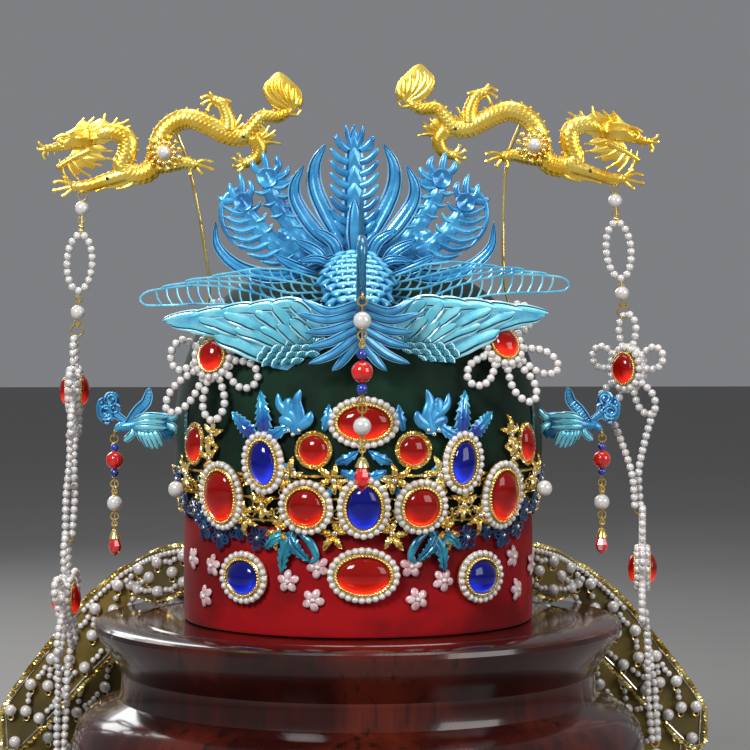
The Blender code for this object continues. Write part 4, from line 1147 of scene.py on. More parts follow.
def make_front_wings(finish, scale):
    """The solid wings: a base, rows of outlined feathers and round scales at the shoulder."""
    table = np.array(FRONT_WING)
    line = Path([(x, 0, 0) for x in table[:, 0]])

    def depth(x, z):
        y, high, _ = wing_rows(FRONT_WING, x)
        return y + FRONT_LEAN * (high - z)

    def base(u, v):
        x = line.at(v)[:, 0]
        _, high, low = wing_rows(FRONT_WING, x)
        z = low + (high - low) * u
        return np.stack([x, depth(x, z), z], axis=-1)

    feathers = []
    for tip_x, tip_z, foot_x, foot_z, half, lift in WING_FEATHERS:
        bow = 0.07 * math.hypot(tip_x - foot_x, tip_z - foot_z)
        mid_x, mid_z = (tip_x + foot_x) / 2, (tip_z + foot_z) / 2 + bow
        rows = [
            (x, float(depth(x, z)) - lift, z) for x, z in ((foot_x, foot_z), (mid_x, mid_z), (tip_x, tip_z))
        ]
        feathers.append(
            ribbon(Path(rows), rounded(half * 1.45), relief=ridged(0.8), cells=(12, 16), wall=0.5)
        )
    places = []
    for row in range(7):
        for column in range(8):
            x, z = 18 + 4.9 * column + 2.45 * (row % 2), -39.5 + 3.2 * row
            _, high, low = wing_rows(FRONT_WING, x)
            if low + 0.4 < z < np.interp(x, (16, 25, 38, 52), (-16, -22, -27, -32.5)):
                lean = np.interp(x, (17, 50), (-10, 48))
                places.append(
                    move(x, float(depth(x, z)) - 1.3 - 0.2 * (6 - row), z) @ spin(lean, "Y") @ size(2.7)
                )
    scales = scale.copies(places)
    for side, mirror in SIDES:
        name, place = f"front_wing_{side}", FRONT_SEAT @ mirror
        piece(
            f"{name}_base", [grid(6, 40, base, 1.4).at(place)], finish["sky_plain"], [name],
        )
        piece(f"{name}_feathers", [joined(feathers).at(place)], finish["sky"])
        piece(f"{name}_scales", [scales.at(place)], finish["fan"])


def make_net_wings(finish):
    """The pierced wings: long bars that end in slender tips, with slanted bars between them."""
    def point(x, level):
        y, high, low = (float(n) for n in wing_rows(NET_WING, x))
        end = NET_ENDS[min(level, 3)]
        share = 1 - level / 4 + (level / 4) * max(0.0, x - 34) / (end - 34) if level < 4 else 0.0
        return (x, y - 0.3 * (4 - level), low + (high - low) * min(share, 1.0))

    paths, bars = [], []
    for level in range(4):
        end = NET_ENDS[level]
        top = [point(x, level) for x in np.linspace(17.4, end - 4, 12)]
        foot = [point(x, level + 1) for x in np.linspace(17.4, end - 3, 12)]
        tip = np.array(point(end, level)) * 0.55 + np.array(point(end, level + 1)) * 0.45
        paths.append(Path(top + [tuple(tip)] + foot[::-1][:3]).points(48))
        paths.append(Path(foot).points(32))
        for x in np.arange(21.0, end - 7, 5.2):
            a, b = np.array(point(x + 1.2, level)), np.array(point(x - 1.6, level + 1))
            middle = (a + b) / 2 + (0.9, 0, 0)
            bars.append(Path([a, middle, b]).points(6))
    shapes = [wires(paths, 0.62), wires(bars, 0.5)]
    for side, mirror in SIDES:
        name = f"net_wing_{side}"
        piece(
            name + "_bars", [joined(shapes).at(NET_SEAT @ mirror)], finish["sky_plain"],
            [name],
        )


def stem_bumps(a, v):
    """Relief of a plume's stem: a round back with knobs along it and a raised edge."""
    raised_edge = 0.5 * np.exp(-((a - 0.75) * 9) ** 2)
    return 1.3 * (1 - a ** 2) + 0.9 * np.abs(np.sin(v * 22)) * (1 - a) + raised_edge


def middle_bumps(a, v):
    """Relief of the middle plume: a round back with slanted folds."""
    return 1.4 * (1 - a ** 2) + 0.9 * np.abs(np.sin(v * 26 + a * 3)) * (1 - a)


def make_tail(finish):
    """The fan of tail feathers: smooth blades, two lobed plumes, the middle plume and its leaf."""
    blades = []
    for half, points in FAN_BLADES:
        blades.append(
            ribbon(Path(points), pointed(half), relief=ridged(1.1, True), cells=(14, 30), wall=0.9)
        )
    shapes = both_sides(blades, TAIL_SEAT)
    leaf = ribbon(
        Path([(0, -3, 16), (0, -5, 30), (0, -4, 46)]), pointed(4.6), relief=ridged(1.2), cells=(14, 20),
        wall=0.8,
    )
    piece("tail_blades", shapes + [leaf.at(TAIL_SEAT)], finish["azure"], ["phoenix_tail"])
    solid, painted_highlight_rims = [], []
    for half, *points in PLUME_STEMS:
        line = Path([(x, -0.4, z) for x, z in points])
        solid.append(ribbon(line, rounded(half, 0.9), relief=stem_bumps, cells=(12, 48), wall=1.0))
    for start, tip, thick in PLUME_BARBS:
        a, b = np.array(start), np.array(tip)
        bow = (a + b) / 2 + np.array((b[1] - a[1], a[0] - b[0])) * 0.16 * (1 if tip[0] > start[0] else -1)
        line = Path([(a[0], -0.6, a[1]), (bow[0], -1.0, bow[1]), (b[0], -0.6, b[1])])
        solid.append(rod(line, pointed(thick, 1.0), pointed(1.2, 1.0), cells=(8, 11)))
        # Painted highlight: a light wire along the front of each barb.
        painted_highlight_rims.append(wires([line.points(10) + (0, -1.25, 0)], 0.38))
    rim = Path([(x, -0.5, z) for x, z in PLUME_RIM])
    solid.append(rod(rim, pointed(1.5, 0.7), pointed(1.1, 0.7), cells=(10, 40)))
    for x, z, r in PLUME_BOSSES:
        cup = turned([(r, 0.0), (r, 1.2), (r - 0.7, 2.2), (r - 1.5, 1.9), (r - 2.6, 0.9), (0.1, 0.4)], 24)
        solid.append(cup.at(move(x, -1.2, z) @ FACING_FRONT))
    spikes = []
    for spike in PLUME_SPIKES:
        rows = [(x, -0.4, z) for x, z in spike]
        spikes.append(rod(Path(rows), pointed(1.9, 1.0), pointed(1.5, 1.0), cells=(10, 12)))
    plume = Path([(0, 1, z) for z in (12, 30, 52, 70, 84)])
    middle = ribbon(plume, pointed(6.6, 0.8), relief=middle_bumps, cells=(18, 80), wall=1.4)
    barbs = []
    for row in range(9):
        z = 22 + 6.1 * row
        reach = 12.5 if 1 < row < 8 else 10.5
        for sign in (-1, 1):
            curl = [
                (sign * 3.2, 0.4, z), (sign * (reach - 4.5), -0.4, z + 2.0), (sign * reach, -0.9, z + 7.2),
            ]
            barbs.append(rod(Path(curl), pointed(1.9, 1.0), pointed(1.3, 1.0), cells=(10, 12)))
    for x, z in ((-7.4, 79), (-3.4, 84), (3.6, 84), (7.8, 78)):
        barbs.append(
            rod(
                Path([(x * 0.4, 0.6, 72), (x, 0.2, z - 6), (x * 1.25, -0.5, z)]), pointed(1.5, 1),
                pointed(1.3, 1), cells=(8, 10),
            )
        )
    piece("tail_plumes", both_sides(solid + spikes, TAIL_SEAT), finish["azure_plain"])
    # Painted highlights: the light wires along the barbs.
    piece("tail_plume_painted_highlight_rims", both_sides(painted_highlight_rims, TAIL_SEAT), finish["sky_plain"])
    piece("tail_middle_plume", [middle.at(TAIL_SEAT)], finish["azure"])
    piece("tail_middle_barbs", [s.at(TAIL_SEAT) for s in barbs], finish["azure_plain"])


def make_body(finish, scale):
    """The phoenix's body with its fan scales, neck, head, crest and chest feathers."""
    body = Path(BODY_ROWS)
    tilt = np.array((0, -0.64, 0.77))

    def width(v):
        return body.at(v)[..., 3] * np.sqrt(np.clip(1 - (2 * v - 1) ** 10, 0, 1))

    def depth(v):
        return body.at(v)[..., 4] * np.sqrt(np.clip(1 - (2 * v - 1) ** 10, 0, 1))

    hull = rod(body, width, depth, face=tilt, cells=(32, 40))
    places = []
    for row in range(9):
        v = 0.05 + 0.068 * row
        spot, ahead = body.at(v), body.heading(v)
        out = unit(tilt - ahead * (ahead @ tilt))
        side = np.cross(out, ahead)
        for step in np.arange(-4.5, 5) + 0.5 * (row % 2):
            a = step * 5.0 / spot[3]
            if abs(a) > 0.97:
                continue
            rise = math.sqrt(1 - a * a)
            normal = unit(out * rise * spot[3] + side * a * spot[4])
            at = spot[:3] + side * spot[3] * a + out * spot[4] * rise
            turn = np.stack([np.cross(-ahead, -normal), -normal, -ahead], axis=1)
            turn[:, 0] = np.cross(turn[:, 1], turn[:, 2])
            place = np.eye(4)
            place[:3, :3], place[:3, 3] = turn * 3.1, at + normal * 0.3
            places.append(place)
    neck = Path(NECK)
    throat = rod(
        neck, lambda v: 2.5 * np.clip(1 - (2 * v - 1) ** 12, 0, 1) ** 0.5,
        lambda v: 4.4 * np.clip(1 - (2 * v - 1) ** 12, 0, 1) ** 0.5,
        cells=(24, 30), relief=lambda u, v: -1.5 * np.exp(-((u - 0.25) * 14) ** 2),
    )
    face = Path([(0, -40.5, 20), (0, -44.5, 23), *BEAK[:3], BEAK[3]])
    girth = (0.0, 2.8, 2.8, 1.8, 1.2, 0.0)
    head = rod(
        face, lambda v: np.interp(v, np.linspace(0, 1, 6), girth),
        lambda v: 1.5 * np.interp(v, np.linspace(0, 1, 6), girth), cells=(16, 30),
    )
    crest = [
        rod(
            Path([(0, -43, 25), (0, -43 + reach * 0.5, 32), (0, -43 + reach, top)]), pointed(1.2, 1.0),
            pointed(1.5, 1.0), cells=(8, 14),
        )
        for reach, top in ((10, 41), (5, 45), (0, 47), (-4, 44), (-7, 39))
    ]
    blades = []
    for points in CHEST:
        line = Path([(x, y - 1.2, z) for x, y, z in points])
        blades.append(
            ribbon(
                line, pointed(2.6, 0.9), relief=lambda a, v: 1.6 * (1 - a) ** 0.8 * (1 - v * 0.4),
                cells=(8, 26), wall=0.8,
            )
        )
    post = wires([[(0, 0, 4), (0, 6.6, -4.9)]], 2.8, roundness=2)
    piece(
        "phoenix_hull", [s.at(PHOENIX) for s in (hull, post)], finish["azure_plain"],
        ["phoenix_body"],
    )
    piece("phoenix_scales", [scale.copies(places).at(PHOENIX)], finish["scale"])
    piece("phoenix_neck", [s.at(PHOENIX) for s in (throat, head, *crest)], finish["neck"])
    # Painted shade: a dark navy strip laid into the groove down the front of the neck.
    groove = ribbon(neck, lambda v: 0.8 + 0 * v, relief=lambda a, v: 3.35 + 0 * v, cells=(4, 30), wall=0.6)
    piece("phoenix_neck_painted_groove_shade", [groove.at(PHOENIX)], finish["navy"])
    piece("phoenix_chest", both_sides(blades, PHOENIX), finish["azure"])
    ring_place = PHOENIX @ move(*BEAK[-1]) @ spin(90, "Y")
    piece("phoenix_beak_ring", [ring(1.8, WIRE).at(ring_place)], finish["gold"])


# Dragons, facing left: where each one's bead flower is, then spine rows (x, z, half girth).
DRAGON_AT = {"left": (-102.0, -14.0, 245.5), "right": (92.0, -14.0, 250.0)}
DRAGON_SPINE = [
    (-37, 9, 3.0), (-28, 11.3, 4.2), (-20.2, 8.2, 4.6), (-19.8, 0.5, 4.7), (-22.4, -6.6, 4.7),
    (-16.6, -11.2, 4.7), (-8.4, -9.6, 4.8), (-3.4, -2, 4.9), (-2, 7.6, 4.9), (4, 15.2, 4.9),
    (13, 18.2, 4.9), (23, 14.9, 4.8), (32.5, 9.8, 4.6), (41, 8.6, 4.2), (46.3, 13.6, 3.7),
    (51.5, 19.2, 3.3), (60.5, 19.6, 2.7), (67, 24.5, 2.0),
]
DRAGON_DEPTH = 3.4
DRAGON_LEGS = [
    ((-15, -9), (-29, -13.4), (-39, -16.6), (-47, -17.2)), ((-6, -7), (4, -6), (10, -5), (15.5, -5.6)),
    ((33.5, 11), (33.6, 18), (30.6, 25.5), (26.5, 27.8)), ((46, 9), (49.8, 3.4), (48, -2.4), (42.6, -5)),
]
# Claws of each paw: where they grow from, then the middle and the tip of each.
DRAGON_CLAWS = [
    ((-47, -17.2), (
        (-51, -13.6, -53.4, -12.2), (-54, -14.6, -58, -15.6), (-53.6, -18.6, -58.6, -19.8),
        (-50.6, -20.6, -53.6, -22.8), (-44.6, -19.4, -43.2, -20.4),
    )),
    ((15.5, -5.6), (
        (20.6, -3.6, 25.4, -4.6), (20.6, -6.6, 25.6, -8.6), (17.6, -8.4, 20, -11),
        (14, -8.4, 13.4, -11.6), (13.4, -3.4, 13, -1.6),
    )),
    ((26.5, 27.8), (
        (22.6, 30.2, 19, 28.6), (22.4, 27.4, 19.2, 25.2), (24.2, 25.4, 22.2, 22),
        (25, 30.4, 23.2, 32), (31, 28.4, 34.8, 27),
    )),
    ((42.6, -5), (
        (39.6, -1.6, 38.6, 0.6), (38.6, -4, 35.4, -2.2), (38.6, -6.6, 35.4, -6.6),
        (40.8, -7.6, 38.6, -9.6), (47.4, -4.6, 50.6, -3.4),
    )),
]
# Tendrils of hair: foot, middle and tip, and thickness at the foot.
DRAGON_HAIR = [
    ((-46, 9), (-44, 15), (-41.8, 18.6), 1.9), ((-42, 10), (-39.6, 15.4), (-36.6, 19), 1.8),
    ((-38, 11), (-32.6, 15), (-31, 21), 1.9), ((-36, 11), (-28, 14.4), (-24.4, 18.6), 1.7),
    ((-33, 11.6), (-25, 14.4), (-18.4, 17.6), 1.7), ((-31, 11), (-24, 12.6), (-17.4, 14.2), 1.5),
    ((-42, 4), (-33, 1.6), (-26.6, 1), 1.6), ((-44, 1), (-36, -1.6), (-27.4, -3), 1.6),
    ((-46, -1), (-40, -4.6), (-32.6, -6.4), 1.5), ((-49, -3), (-45, -8), (-38.6, -12), 1.5),
    ((-51, -4.6), (-49, -9), (-45, -13.6), 1.3), ((-53, -6), (-53, -9.6), (-50.6, -13), 1.1),
    ((-47, 6), (-38, 5), (-31, 5.4), 1.6), ((-48, 3), (-40, 1.4), (-33, -0.4), 1.4),
    ((-23, -14), (-30, -17.4), (-36, -19.8), 1.7), ((-15, -14), (-19, -17), (-25, -18.6), 1.6),
    ((35, 13), (38, 16), (40.4, 20.4), 1.6), ((36, 12), (39, 13.6), (41.6, 16), 1.5),
    ((49, 7), (54, 9), (58.4, 12.4), 1.7), ((50, 5), (55.6, 6), (61, 5.2), 1.7),
    ((49.6, 8), (53, 11.4), (55, 14.6), 1.4), ((64, 21), (69.4, 20.4), (71.5, 23), 1.3),
]
DRAGON_NOSE = [
    ((-62, 2.6), (-65, 4.6), (-66.2, 6.2)), ((-62.5, 2), (-65.6, 2), (-67, 2.6)),
    ((-62, 1), (-63.4, -1.4), (-62.4, -3.4)),
]
PLUME_STRANDS = [
    ((66, 23), (58, 27), (53.4, 33.4), (55.4, 37.6)), ((66.6, 23.4), (60, 29), (56.6, 35), (58.6, 41.6)),
    ((67, 24), (62.4, 30), (60.4, 36), (61.6, 42)), ((67.6, 24), (65, 30.4), (64.6, 35), (66, 38.8)),
    ((68, 24), (67.8, 30), (68, 33.6), (70.2, 35.4)), ((68.4, 23.4), (70, 27), (70.8, 29.4), (71.4, 31.4)),
]
# Teeth: foot (x, z), then the way to the tip.
DRAGON_TEETH = [
    (-61, 0.8, 0.2, -2.2), (-57.6, 0.8, 0.2, -1.8), (-54.6, -5.2, -0.4, 2.4), (-51.4, -3.6, -0.4, 1.8),
    (-48.2, -1.6, -0.4, 1.4),
]
DRAGON_EYE, DRAGON_EYELET, DRAGON_RIVETS = (-53.4, 5.6), (-43, 0, -19.6), ((-29.8, -13.1), (41.5, 8.8))
# Flat parts behind the hair: mane, beard, the fur of two legs and the tail's fan, each with its thickness.
DRAGON_PLATES = [
    ((
        (-52, 9), (-47, 13), (-43, 17), (-38, 15.6), (-33, 18), (-27, 15), (-22, 16), (-24, 11),
        (-30, 6), (-42, 4),
    ), 2.6),
    ((
        (-45, 4), (-50, -3), (-49, -8), (-45, -11), (-42, -7), (-37, -8), (-36, -4), (-30, -3),
        (-34, 0), (-30, 2), (-36, 5),
    ), 2.6),
    (((-14, -12), (-22, -12), (-31, -16), (-36, -19), (-28, -18), (-20, -17.4)), 2.4),
    (((44, 9), (50, 6), (55, 7), (58, 10), (54, 11), (52, 14), (47, 13)), 2.4),
    ((
        (66, 22), (71, 26), (71.6, 32), (67, 37.6), (60.4, 42.6), (55.4, 39), (52.6, 35.4), (56, 29.6),
        (60, 24),
    ), 2.2),
]
PIN_FEET = {"left": (-83.5, -14, 154), "right": (83.5, -14, 154)}
PIN_BENDS = {"left": (-79.0, -10, 178), "right": (77.0, -10, 182)}
PIN_HOLD = [(14, -12), (5, 15.5)]


def tapered(points, thick, tip=0.4, knob=0.0, depth=0.0):
    """Rows of a tapering wire through (x, z) points, ended by a knob if one is given."""
    line = Path([(x, depth, z) for x, z in points])
    share = np.linspace(0, 1, 12)
    girth = thick + (tip - thick) * share ** 0.8
    if knob:
        girth[-3:] = (knob * 0.8, knob, knob * 0.7)
    return np.column_stack([line.at(share), girth])


def scaled(rows, across, height):
    """Relief of rounded, overlapping scales over a body, with a ribbed belly band along one edge."""
    def relief(u, v):
        raised = 0 * u
        for shift in (0.0, 0.5):
            a, q = u * across + shift, v * rows + shift
            a, q = a - np.round(a), q - np.round(q)
            raised = np.maximum(
                raised, np.maximum(0, 1 - (a / 0.56) ** 2 - (q / 0.56) ** 2) ** 0.6 * (0.75 + 0.5 * q),
            )
        belly = (u < 0.09) | (u > 0.91)
        line = np.exp(-((u - 0.10) * 60) ** 2)
        ribs = 0.5 + 0.5 * np.cos(v * rows * math.tau)
        return height * (np.where(belly, 0.55 * ribs + 0.2, raised) - 0.8 * line)

    return relief


def dragon_shapes(bead, round_bead):
    """The gold of a dragon that faces left, and the beads of its flower."""
    spine = Path([(x, 0, z, girth) for x, z, girth in DRAGON_SPINE])

    def ends(v):
        return np.clip(1 - (2 * v - 1) ** 24, 0, 1) ** 0.5

    gold = [rod(
        spine, lambda v: spine.at(v)[:, 3] * ends(v), lambda v: (0.55 * spine.at(v)[:, 3] + 0.9) * ends(v),
        cells=(40, 320), relief=scaled(62, 8, 0.8),
    )]
    spikes, hair = [], []
    for v in np.linspace(0.05, 0.97, 36):
        spot, ahead = spine.at(v), spine.heading(v)
        out = -np.cross(ahead, FRONT)
        foot, tip = spot[:3] + out * (spot[3] - 0.6), spot[:3] + out * (spot[3] + 1.5) + ahead * 0.7
        spikes.append(np.column_stack([np.stack([foot, (foot + tip) / 2, tip]), (0.9, 0.7, 0.32)]))
    for leg, (foot, claws) in zip(DRAGON_LEGS, DRAGON_CLAWS):
        line = Path([(x, -0.4, z) for x, z in leg])
        gold.append(rod(
            line, lambda v: (4.2 - 1.7 * v) * ends(v), lambda v: (3.4 - 1.2 * v) * ends(v), cells=(24, 52),
            relief=scaled(10, 7, 0.6),
        ))
        gold.append(beads([(foot[0], -0.6, foot[1])], 2.7, round_bead))
        for mx, mz, x, z in claws:
            hair.append(tapered([foot, (mx, mz), (x, z)], 1.25, 0.7, 1.15, -1.0))
    for *points, thick in DRAGON_HAIR:
        hair.append(tapered(points, thick, 0.5, 0.0 if thick > 1.75 else 0.75, -0.8))
    for points in DRAGON_NOSE:
        hair.append(tapered(points, 1.1, 0.6, 0.9, -0.6))
    skull = Path(
        [(-32, 0, 10), (-40, -0.2, 8.4), (-47, -0.4, 6.8), (-53, -0.3, 4.6), (-58, 0, 3), (-64, 0, 2.4)]
    )
    high, deep = (0.0, 5.4, 5.0, 3.6, 2.3, 1.5), (0.0, 4.4, 4.6, 3.9, 2.8, 1.9)
    stops = np.linspace(0, 1, 6)
    gold.append(rod(
        skull, lambda v: np.interp(v, stops, high) * ends(v), lambda v: np.interp(v, stops, deep) * ends(v),
        cells=(24, 48),
        relief=lambda u, v: 0.35 * np.sin(u * 40 + v * 12) * (v < 0.55) + 0.25 * np.sin(v * 90) * (v > 0.7),
    ))
    jaw = Path([(-38, 0, 2), (-46, -0.2, -1.6), (-52, -0.2, -5), (-56.6, 0, -8)])
    gold.append(
        rod(jaw, lambda v: (2.4 - 0.9 * v) * ends(v), lambda v: (3.2 - 1.2 * v) * ends(v), cells=(16, 24))
    )
    teeth = [[(x, -1.8, z, 0.6), (x + dx, -1.8, z + dz, 0.2)] for x, z, dx, dz in DRAGON_TEETH]
    eye_x, eye_z = DRAGON_EYE
    gold.append(ring(2.3, 0.6, 20, 8).at(move(eye_x, -3.2, eye_z) @ FACING_FRONT))
    gold.append(beads([(eye_x, -3.0, eye_z)], 1.5, round_bead))
    brow = tapered([(-50, 9.4), (-54, 9.2), (-57.6, 7.2)], 1.3, 0.7, 0.0, -2.4)
    strands = []
    for points in PLUME_STRANDS:
        line = Path([(x, -0.2, z) for x, z in points])
        strands.append(rod(line, pointed(2.7, 0.55), pointed(2.2, 0.6), cells=(12, 24)))
    gold += [plate(smooth_outline(outline, 70), thick).at(move(y=-0.2)) for outline, thick in DRAGON_PLATES]
    gold += strands + [wires(hair + [brow], 1.0, roundness=2), wires(spikes, 1.0), wires(teeth, 1.0)]
    gold.append(ring(1.7, WIRE).at(move(*DRAGON_EYELET) @ spin(90, "Y")))
    gold.append(wires([[(-43.2, -0.6, -17.4), (-43, -0.2, -18.4)]], 0.8))
    cup = [(4.6, 0.0), (5.0, 1.0), (4.4, 2.0), (3.2, 2.4), (2.0, 2.0)]
    gold.append(turned(cup, 16).at(move(y=-4.2) @ FACING_FRONT))
    ring_beads, outer = [], []
    for k in range(12):
        a = math.tau * k / 12
        ring_beads.append((5.4 * math.cos(a), -6.2, 5.4 * math.sin(a)))
        outer.append((8.3 * math.cos(a + 0.26), -4.6, 8.3 * math.sin(a + 0.26)))
    petals = []
    for a in np.arange(12) * math.tau / 12 + 0.13:
        ahead = np.array((math.cos(a), math.sin(a)))
        petals.append(tapered([3 * ahead, 9.4 * ahead], 0.6, 0.5, 0.9, -4.6))
    gold.append(wires(petals, 1.0))
    gold.append(beads(outer[::2], 1.25, bead))
    silver = [beads(ring_beads, 1.45, bead), beads(outer[1::2], 1.35, bead)]
    return gold, silver, [beads([(0, -7.0, 0)], 3.5, round_bead)]


def make_dragons(finish, bead, round_bead):
    """The two gold dragons, each on a wire pin with a bead flower on its side."""
    gold, silver, pearl_heart = (joined(shapes) for shapes in dragon_shapes(bead, round_bead))
    for side, at in DRAGON_AT.items():
        place = move(*at) @ (MIRROR if side == "right" else Matrix.Identity(4))
        piece(
            f"dragon_{side}_gold", [gold.at(place)], finish["bright_gold"], [f"dragon_{side}"], 38,
        )
        piece(f"dragon_{side}_flower_beads", [silver.at(place)], finish["gold"])
        piece(f"dragon_{side}_flower_pearl", [pearl_heart.at(place)], finish["pearl"])
        inward = 1 if side == "left" else -1
        hold = [np.array(at) + (inward * x, DRAGON_DEPTH + 1.2, z) for x, z in PIN_HOLD]
        line = Path([PIN_FEET[side], PIN_BENDS[side], *hold])
        rivets = beads([(x, -3.7, z) for x, z in DRAGON_RIVETS], 0.95, bead)
        piece(f"dragon_{side}_rivets", [rivets.at(place)], finish["black"])
        piece(
            f"dragon_wire_{side}_pin", [wires([line.points(40)], 0.9, roundness=2)], finish["gold"],
            [f"dragon_wire_{side}"],
        )


# Back wings: x, y, upper and lower edge of each station, from the cap out and down, on the right side.
BACK_WINGS = {
    "upper": [
        (86.4, 34.4, 36, 14), (108, 48, 31, 3), (124, 67, 21, 2.5), (132, 68, 17, -24), (152, 68, 0, -46),
        (174, 66, -27, -70), (190, 66, -48, -84), (198, 66, -62, -80),
    ],
    "lower": [
        (68.6, 62.7, 34, 8), (84, 82, 28, 3), (98, 102, 16, 2.5), (110, 106, 6, -34), (134, 108, -22, -70),
        (162, 108, -44, -96), (184, 106, -68, -106), (194, 104, -84, -102),
    ],
}
BACK_WING_WALL = 2.0


def make_back_wings(finish, bead, round_bead):
    """The four stiff brocade wings: cloth, a braid with a silver line inside it, and a net of pearls."""
    for level, rows in BACK_WINGS.items():
        top = Path([(x, y, high) for x, y, high, _ in rows])
        foot = Path([(x, y, low) for x, y, _, low in rows])

        def point(u, v):
            u, v = np.asarray(u, float), np.asarray(v, float)
            high, low = top.at(v), foot.at(v)
            sag = 1.2 * np.sin(u * math.pi) * np.sin(v * 9)
            return low + (high - low) * u[..., None] + np.stack([0 * sag, sag, 0 * sag], axis=-1)

        def off(u, v, lift):
            return point(u, v) + (0, -lift, 0)

        cloth = grid(24, 60, point, BACK_WING_WALL)
        edge = [(1, v) for v in np.linspace(0, 1, 60)] + [(u, 1) for u in np.linspace(1, 0, 16)[1:]]
        edge += [(0, v) for v in np.linspace(1, 0, 60)[1:]]
        u, v = np.array(edge).T
        braid = []
        for lift in (1.4, -3.2):
            line = Path(off(u, v, lift))
            share = np.linspace(0, 1, int(line.length / 1.3))
            centre, ahead = line.at(share), line.heading(share)
            side = unit(np.cross(ahead, FRONT))
            for start in (0, 2.1, 4.2):
                angle = share * line.length * 1.15 + start
                twist = side * np.cos(angle)[:, None] * 0.9 + np.array(FRONT) * np.sin(angle)[:, None] * 0.7
                braid.append(wires([centre + twist], 0.75, roundness=0))
        inner = Path(off(0.5 + (u - 0.5) * 0.86, 0.02 + v * 0.95, 2.2))
        silver_line = wires([inner.points(260)], 0.55)
        pearls, big, rings = [], [], []
        spots = {}
        for column, along in enumerate(np.linspace(0.06, 0.94, 9)):
            for row, up in enumerate((0.78, 0.5, 0.2)):
                spots[column, row] = off(up, along + (0.045 if row == 1 else 0.0), 3.6)
        # The middle pearl of the last column would hang past the end.
        del spots[8, 1]
        for (c, r), here in spots.items():
            for other in ((c, r + 1), (c + 1, r - 1), (c + 1, r)):
                if other in spots and (other[0] == c or (c + other[1]) % 2 == 0):
                    there = spots[other]
                    if np.linalg.norm(there - here) > 12:
                        step = unit(there - here) * 4.6
                        sag = (here + there) / 2 + (0, -0.6, -1.6)
                        pearls.append(strung(Path([here + step, sag, there - step]), 1.75, bead))
            big.append(here + (0, -0.6, 0))
            rings.append(ring(2.7, 0.5, 14, 5).at(Matrix.Translation(here + (0, 1.4, 0)) @ FACING_FRONT))
            rings.append(
                ring(1.5, 0.45, 12, 5).at(Matrix.Translation(here + (0, 0.4, -4.0)) @ FACING_FRONT)
            )
        first = off(np.linspace(0.08, 0.9, 12), np.full(12, 0.035), 3.4)
        pearls += [
            strung(Path(first), 1.9, bead),
            strung(Path(off(np.full(14, 0.9), np.linspace(0.05, 0.55, 14), 3.2)), 1.6, bead),
        ]
        pearls.append(beads(big, 3.3, round_bead))
        corners = point(*np.meshgrid(np.linspace(0, 1, 12), np.linspace(0, 1, 60)))
        cross = np.cross(corners[1:, :-1] - corners[:-1, :-1], corners[:-1, 1:] - corners[:-1, :-1])
        length = max(top.length, foot.length) * MM
        for side, mirror in SIDES:
            name = f"back_wing_{level}_{side}"
            sheet = piece(f"{name}_brocade", [cloth.at(mirror)], finish["brocade"], [name])
            trims = [
                piece(f"{name}_braid", [joined(braid).at(mirror)], finish["braid"]),
                piece(f"{name}_silver_line", [silver_line.at(mirror)], finish["silver"]),
                piece(f"{name}_pearls", [joined(pearls).at(mirror)], finish["pearl"]),
                piece(f"{name}_rings", [joined(rings).at(mirror)], finish["gold"]),
            ]


# Leaves and clouds: x, y, lean, length and half width of each leaf, on the left side.
SPRAY_LEAVES = [(0.5, -3, -4, 25, 5.6), (-3, -3, -48, 21, 5.2), (-5, -4, 62, 26, 4.2)]
LOW_LEAVES = [(2, 3.5, 200, 22, 4.6), (-2, 3.0, 142, 18, 4.2), (-3, 2.0, 236, 14, 3.4)]
CLOUD = [
    ((18, 1), (17, 9), (10, 15), (8.6, 21.4)), ((18, 2), (20, 10), (18.6, 17), (20.6, 23.4)),
    ((17.4, 6), (12, 8), (9.4, 6.4)), ((19.4, 5), (24, 8), (26, 12.6)), ((14, 11), (14, 16), (15.6, 19)),
]
# Blue leaves that show between the jewels: azimuth, height and lean on the left side.
FILL_LEAVES = [(8, 88, 62), (6.5, 84, 100), (11.5, 104, 12), (20, 84, -80), (21, 80, -110), (9, 76, -150)]
# Small things on the cap and band: azimuth and height.
PINK_FLOWERS = [
    (-23.5, 28.3), (-13.9, 35.8), (-15.4, 19.3), (14.7, 36.1), (16.6, 19.6), (25.3, 28.4), (-53.8, 33.2),
    (-57.9, 16.8), (-66.7, 35.0), (55.9, 37.0), (58.7, 19.6), (72.3, 30.3),
]
DARK_FLOWERS = [
    (-57, 52.5), (-49, 49), (-41.5, 54), (-33.5, 49.5), (57, 52.5), (49, 49), (41.5, 54), (33.5, 49.5),
    (-61, 61), (61, 61), (-69, 64), (69, 64), (-73, 76), (73, 76),
]
# A gold sprig: x, y, lean, length and half width of each leaf, and x, y and radius of each gem.
SPRIG_LEAVES = [
    (0, 2, 0, 8.5, 2.3), (-0.6, 1, -62, 7.5, 2.1), (0.6, 1, 62, 7.5, 2.1), (0, -1, -128, 6.5, 1.9),
    (0, -1, 128, 6.5, 1.9), (0, -2, 180, 7.0, 1.9),
]
SPRIG_GEMS = [(0, 0, 1.7), (-3.4, 3.4, 0.95), (3.4, 3.4, 0.95), (0, -4, 0.95)]
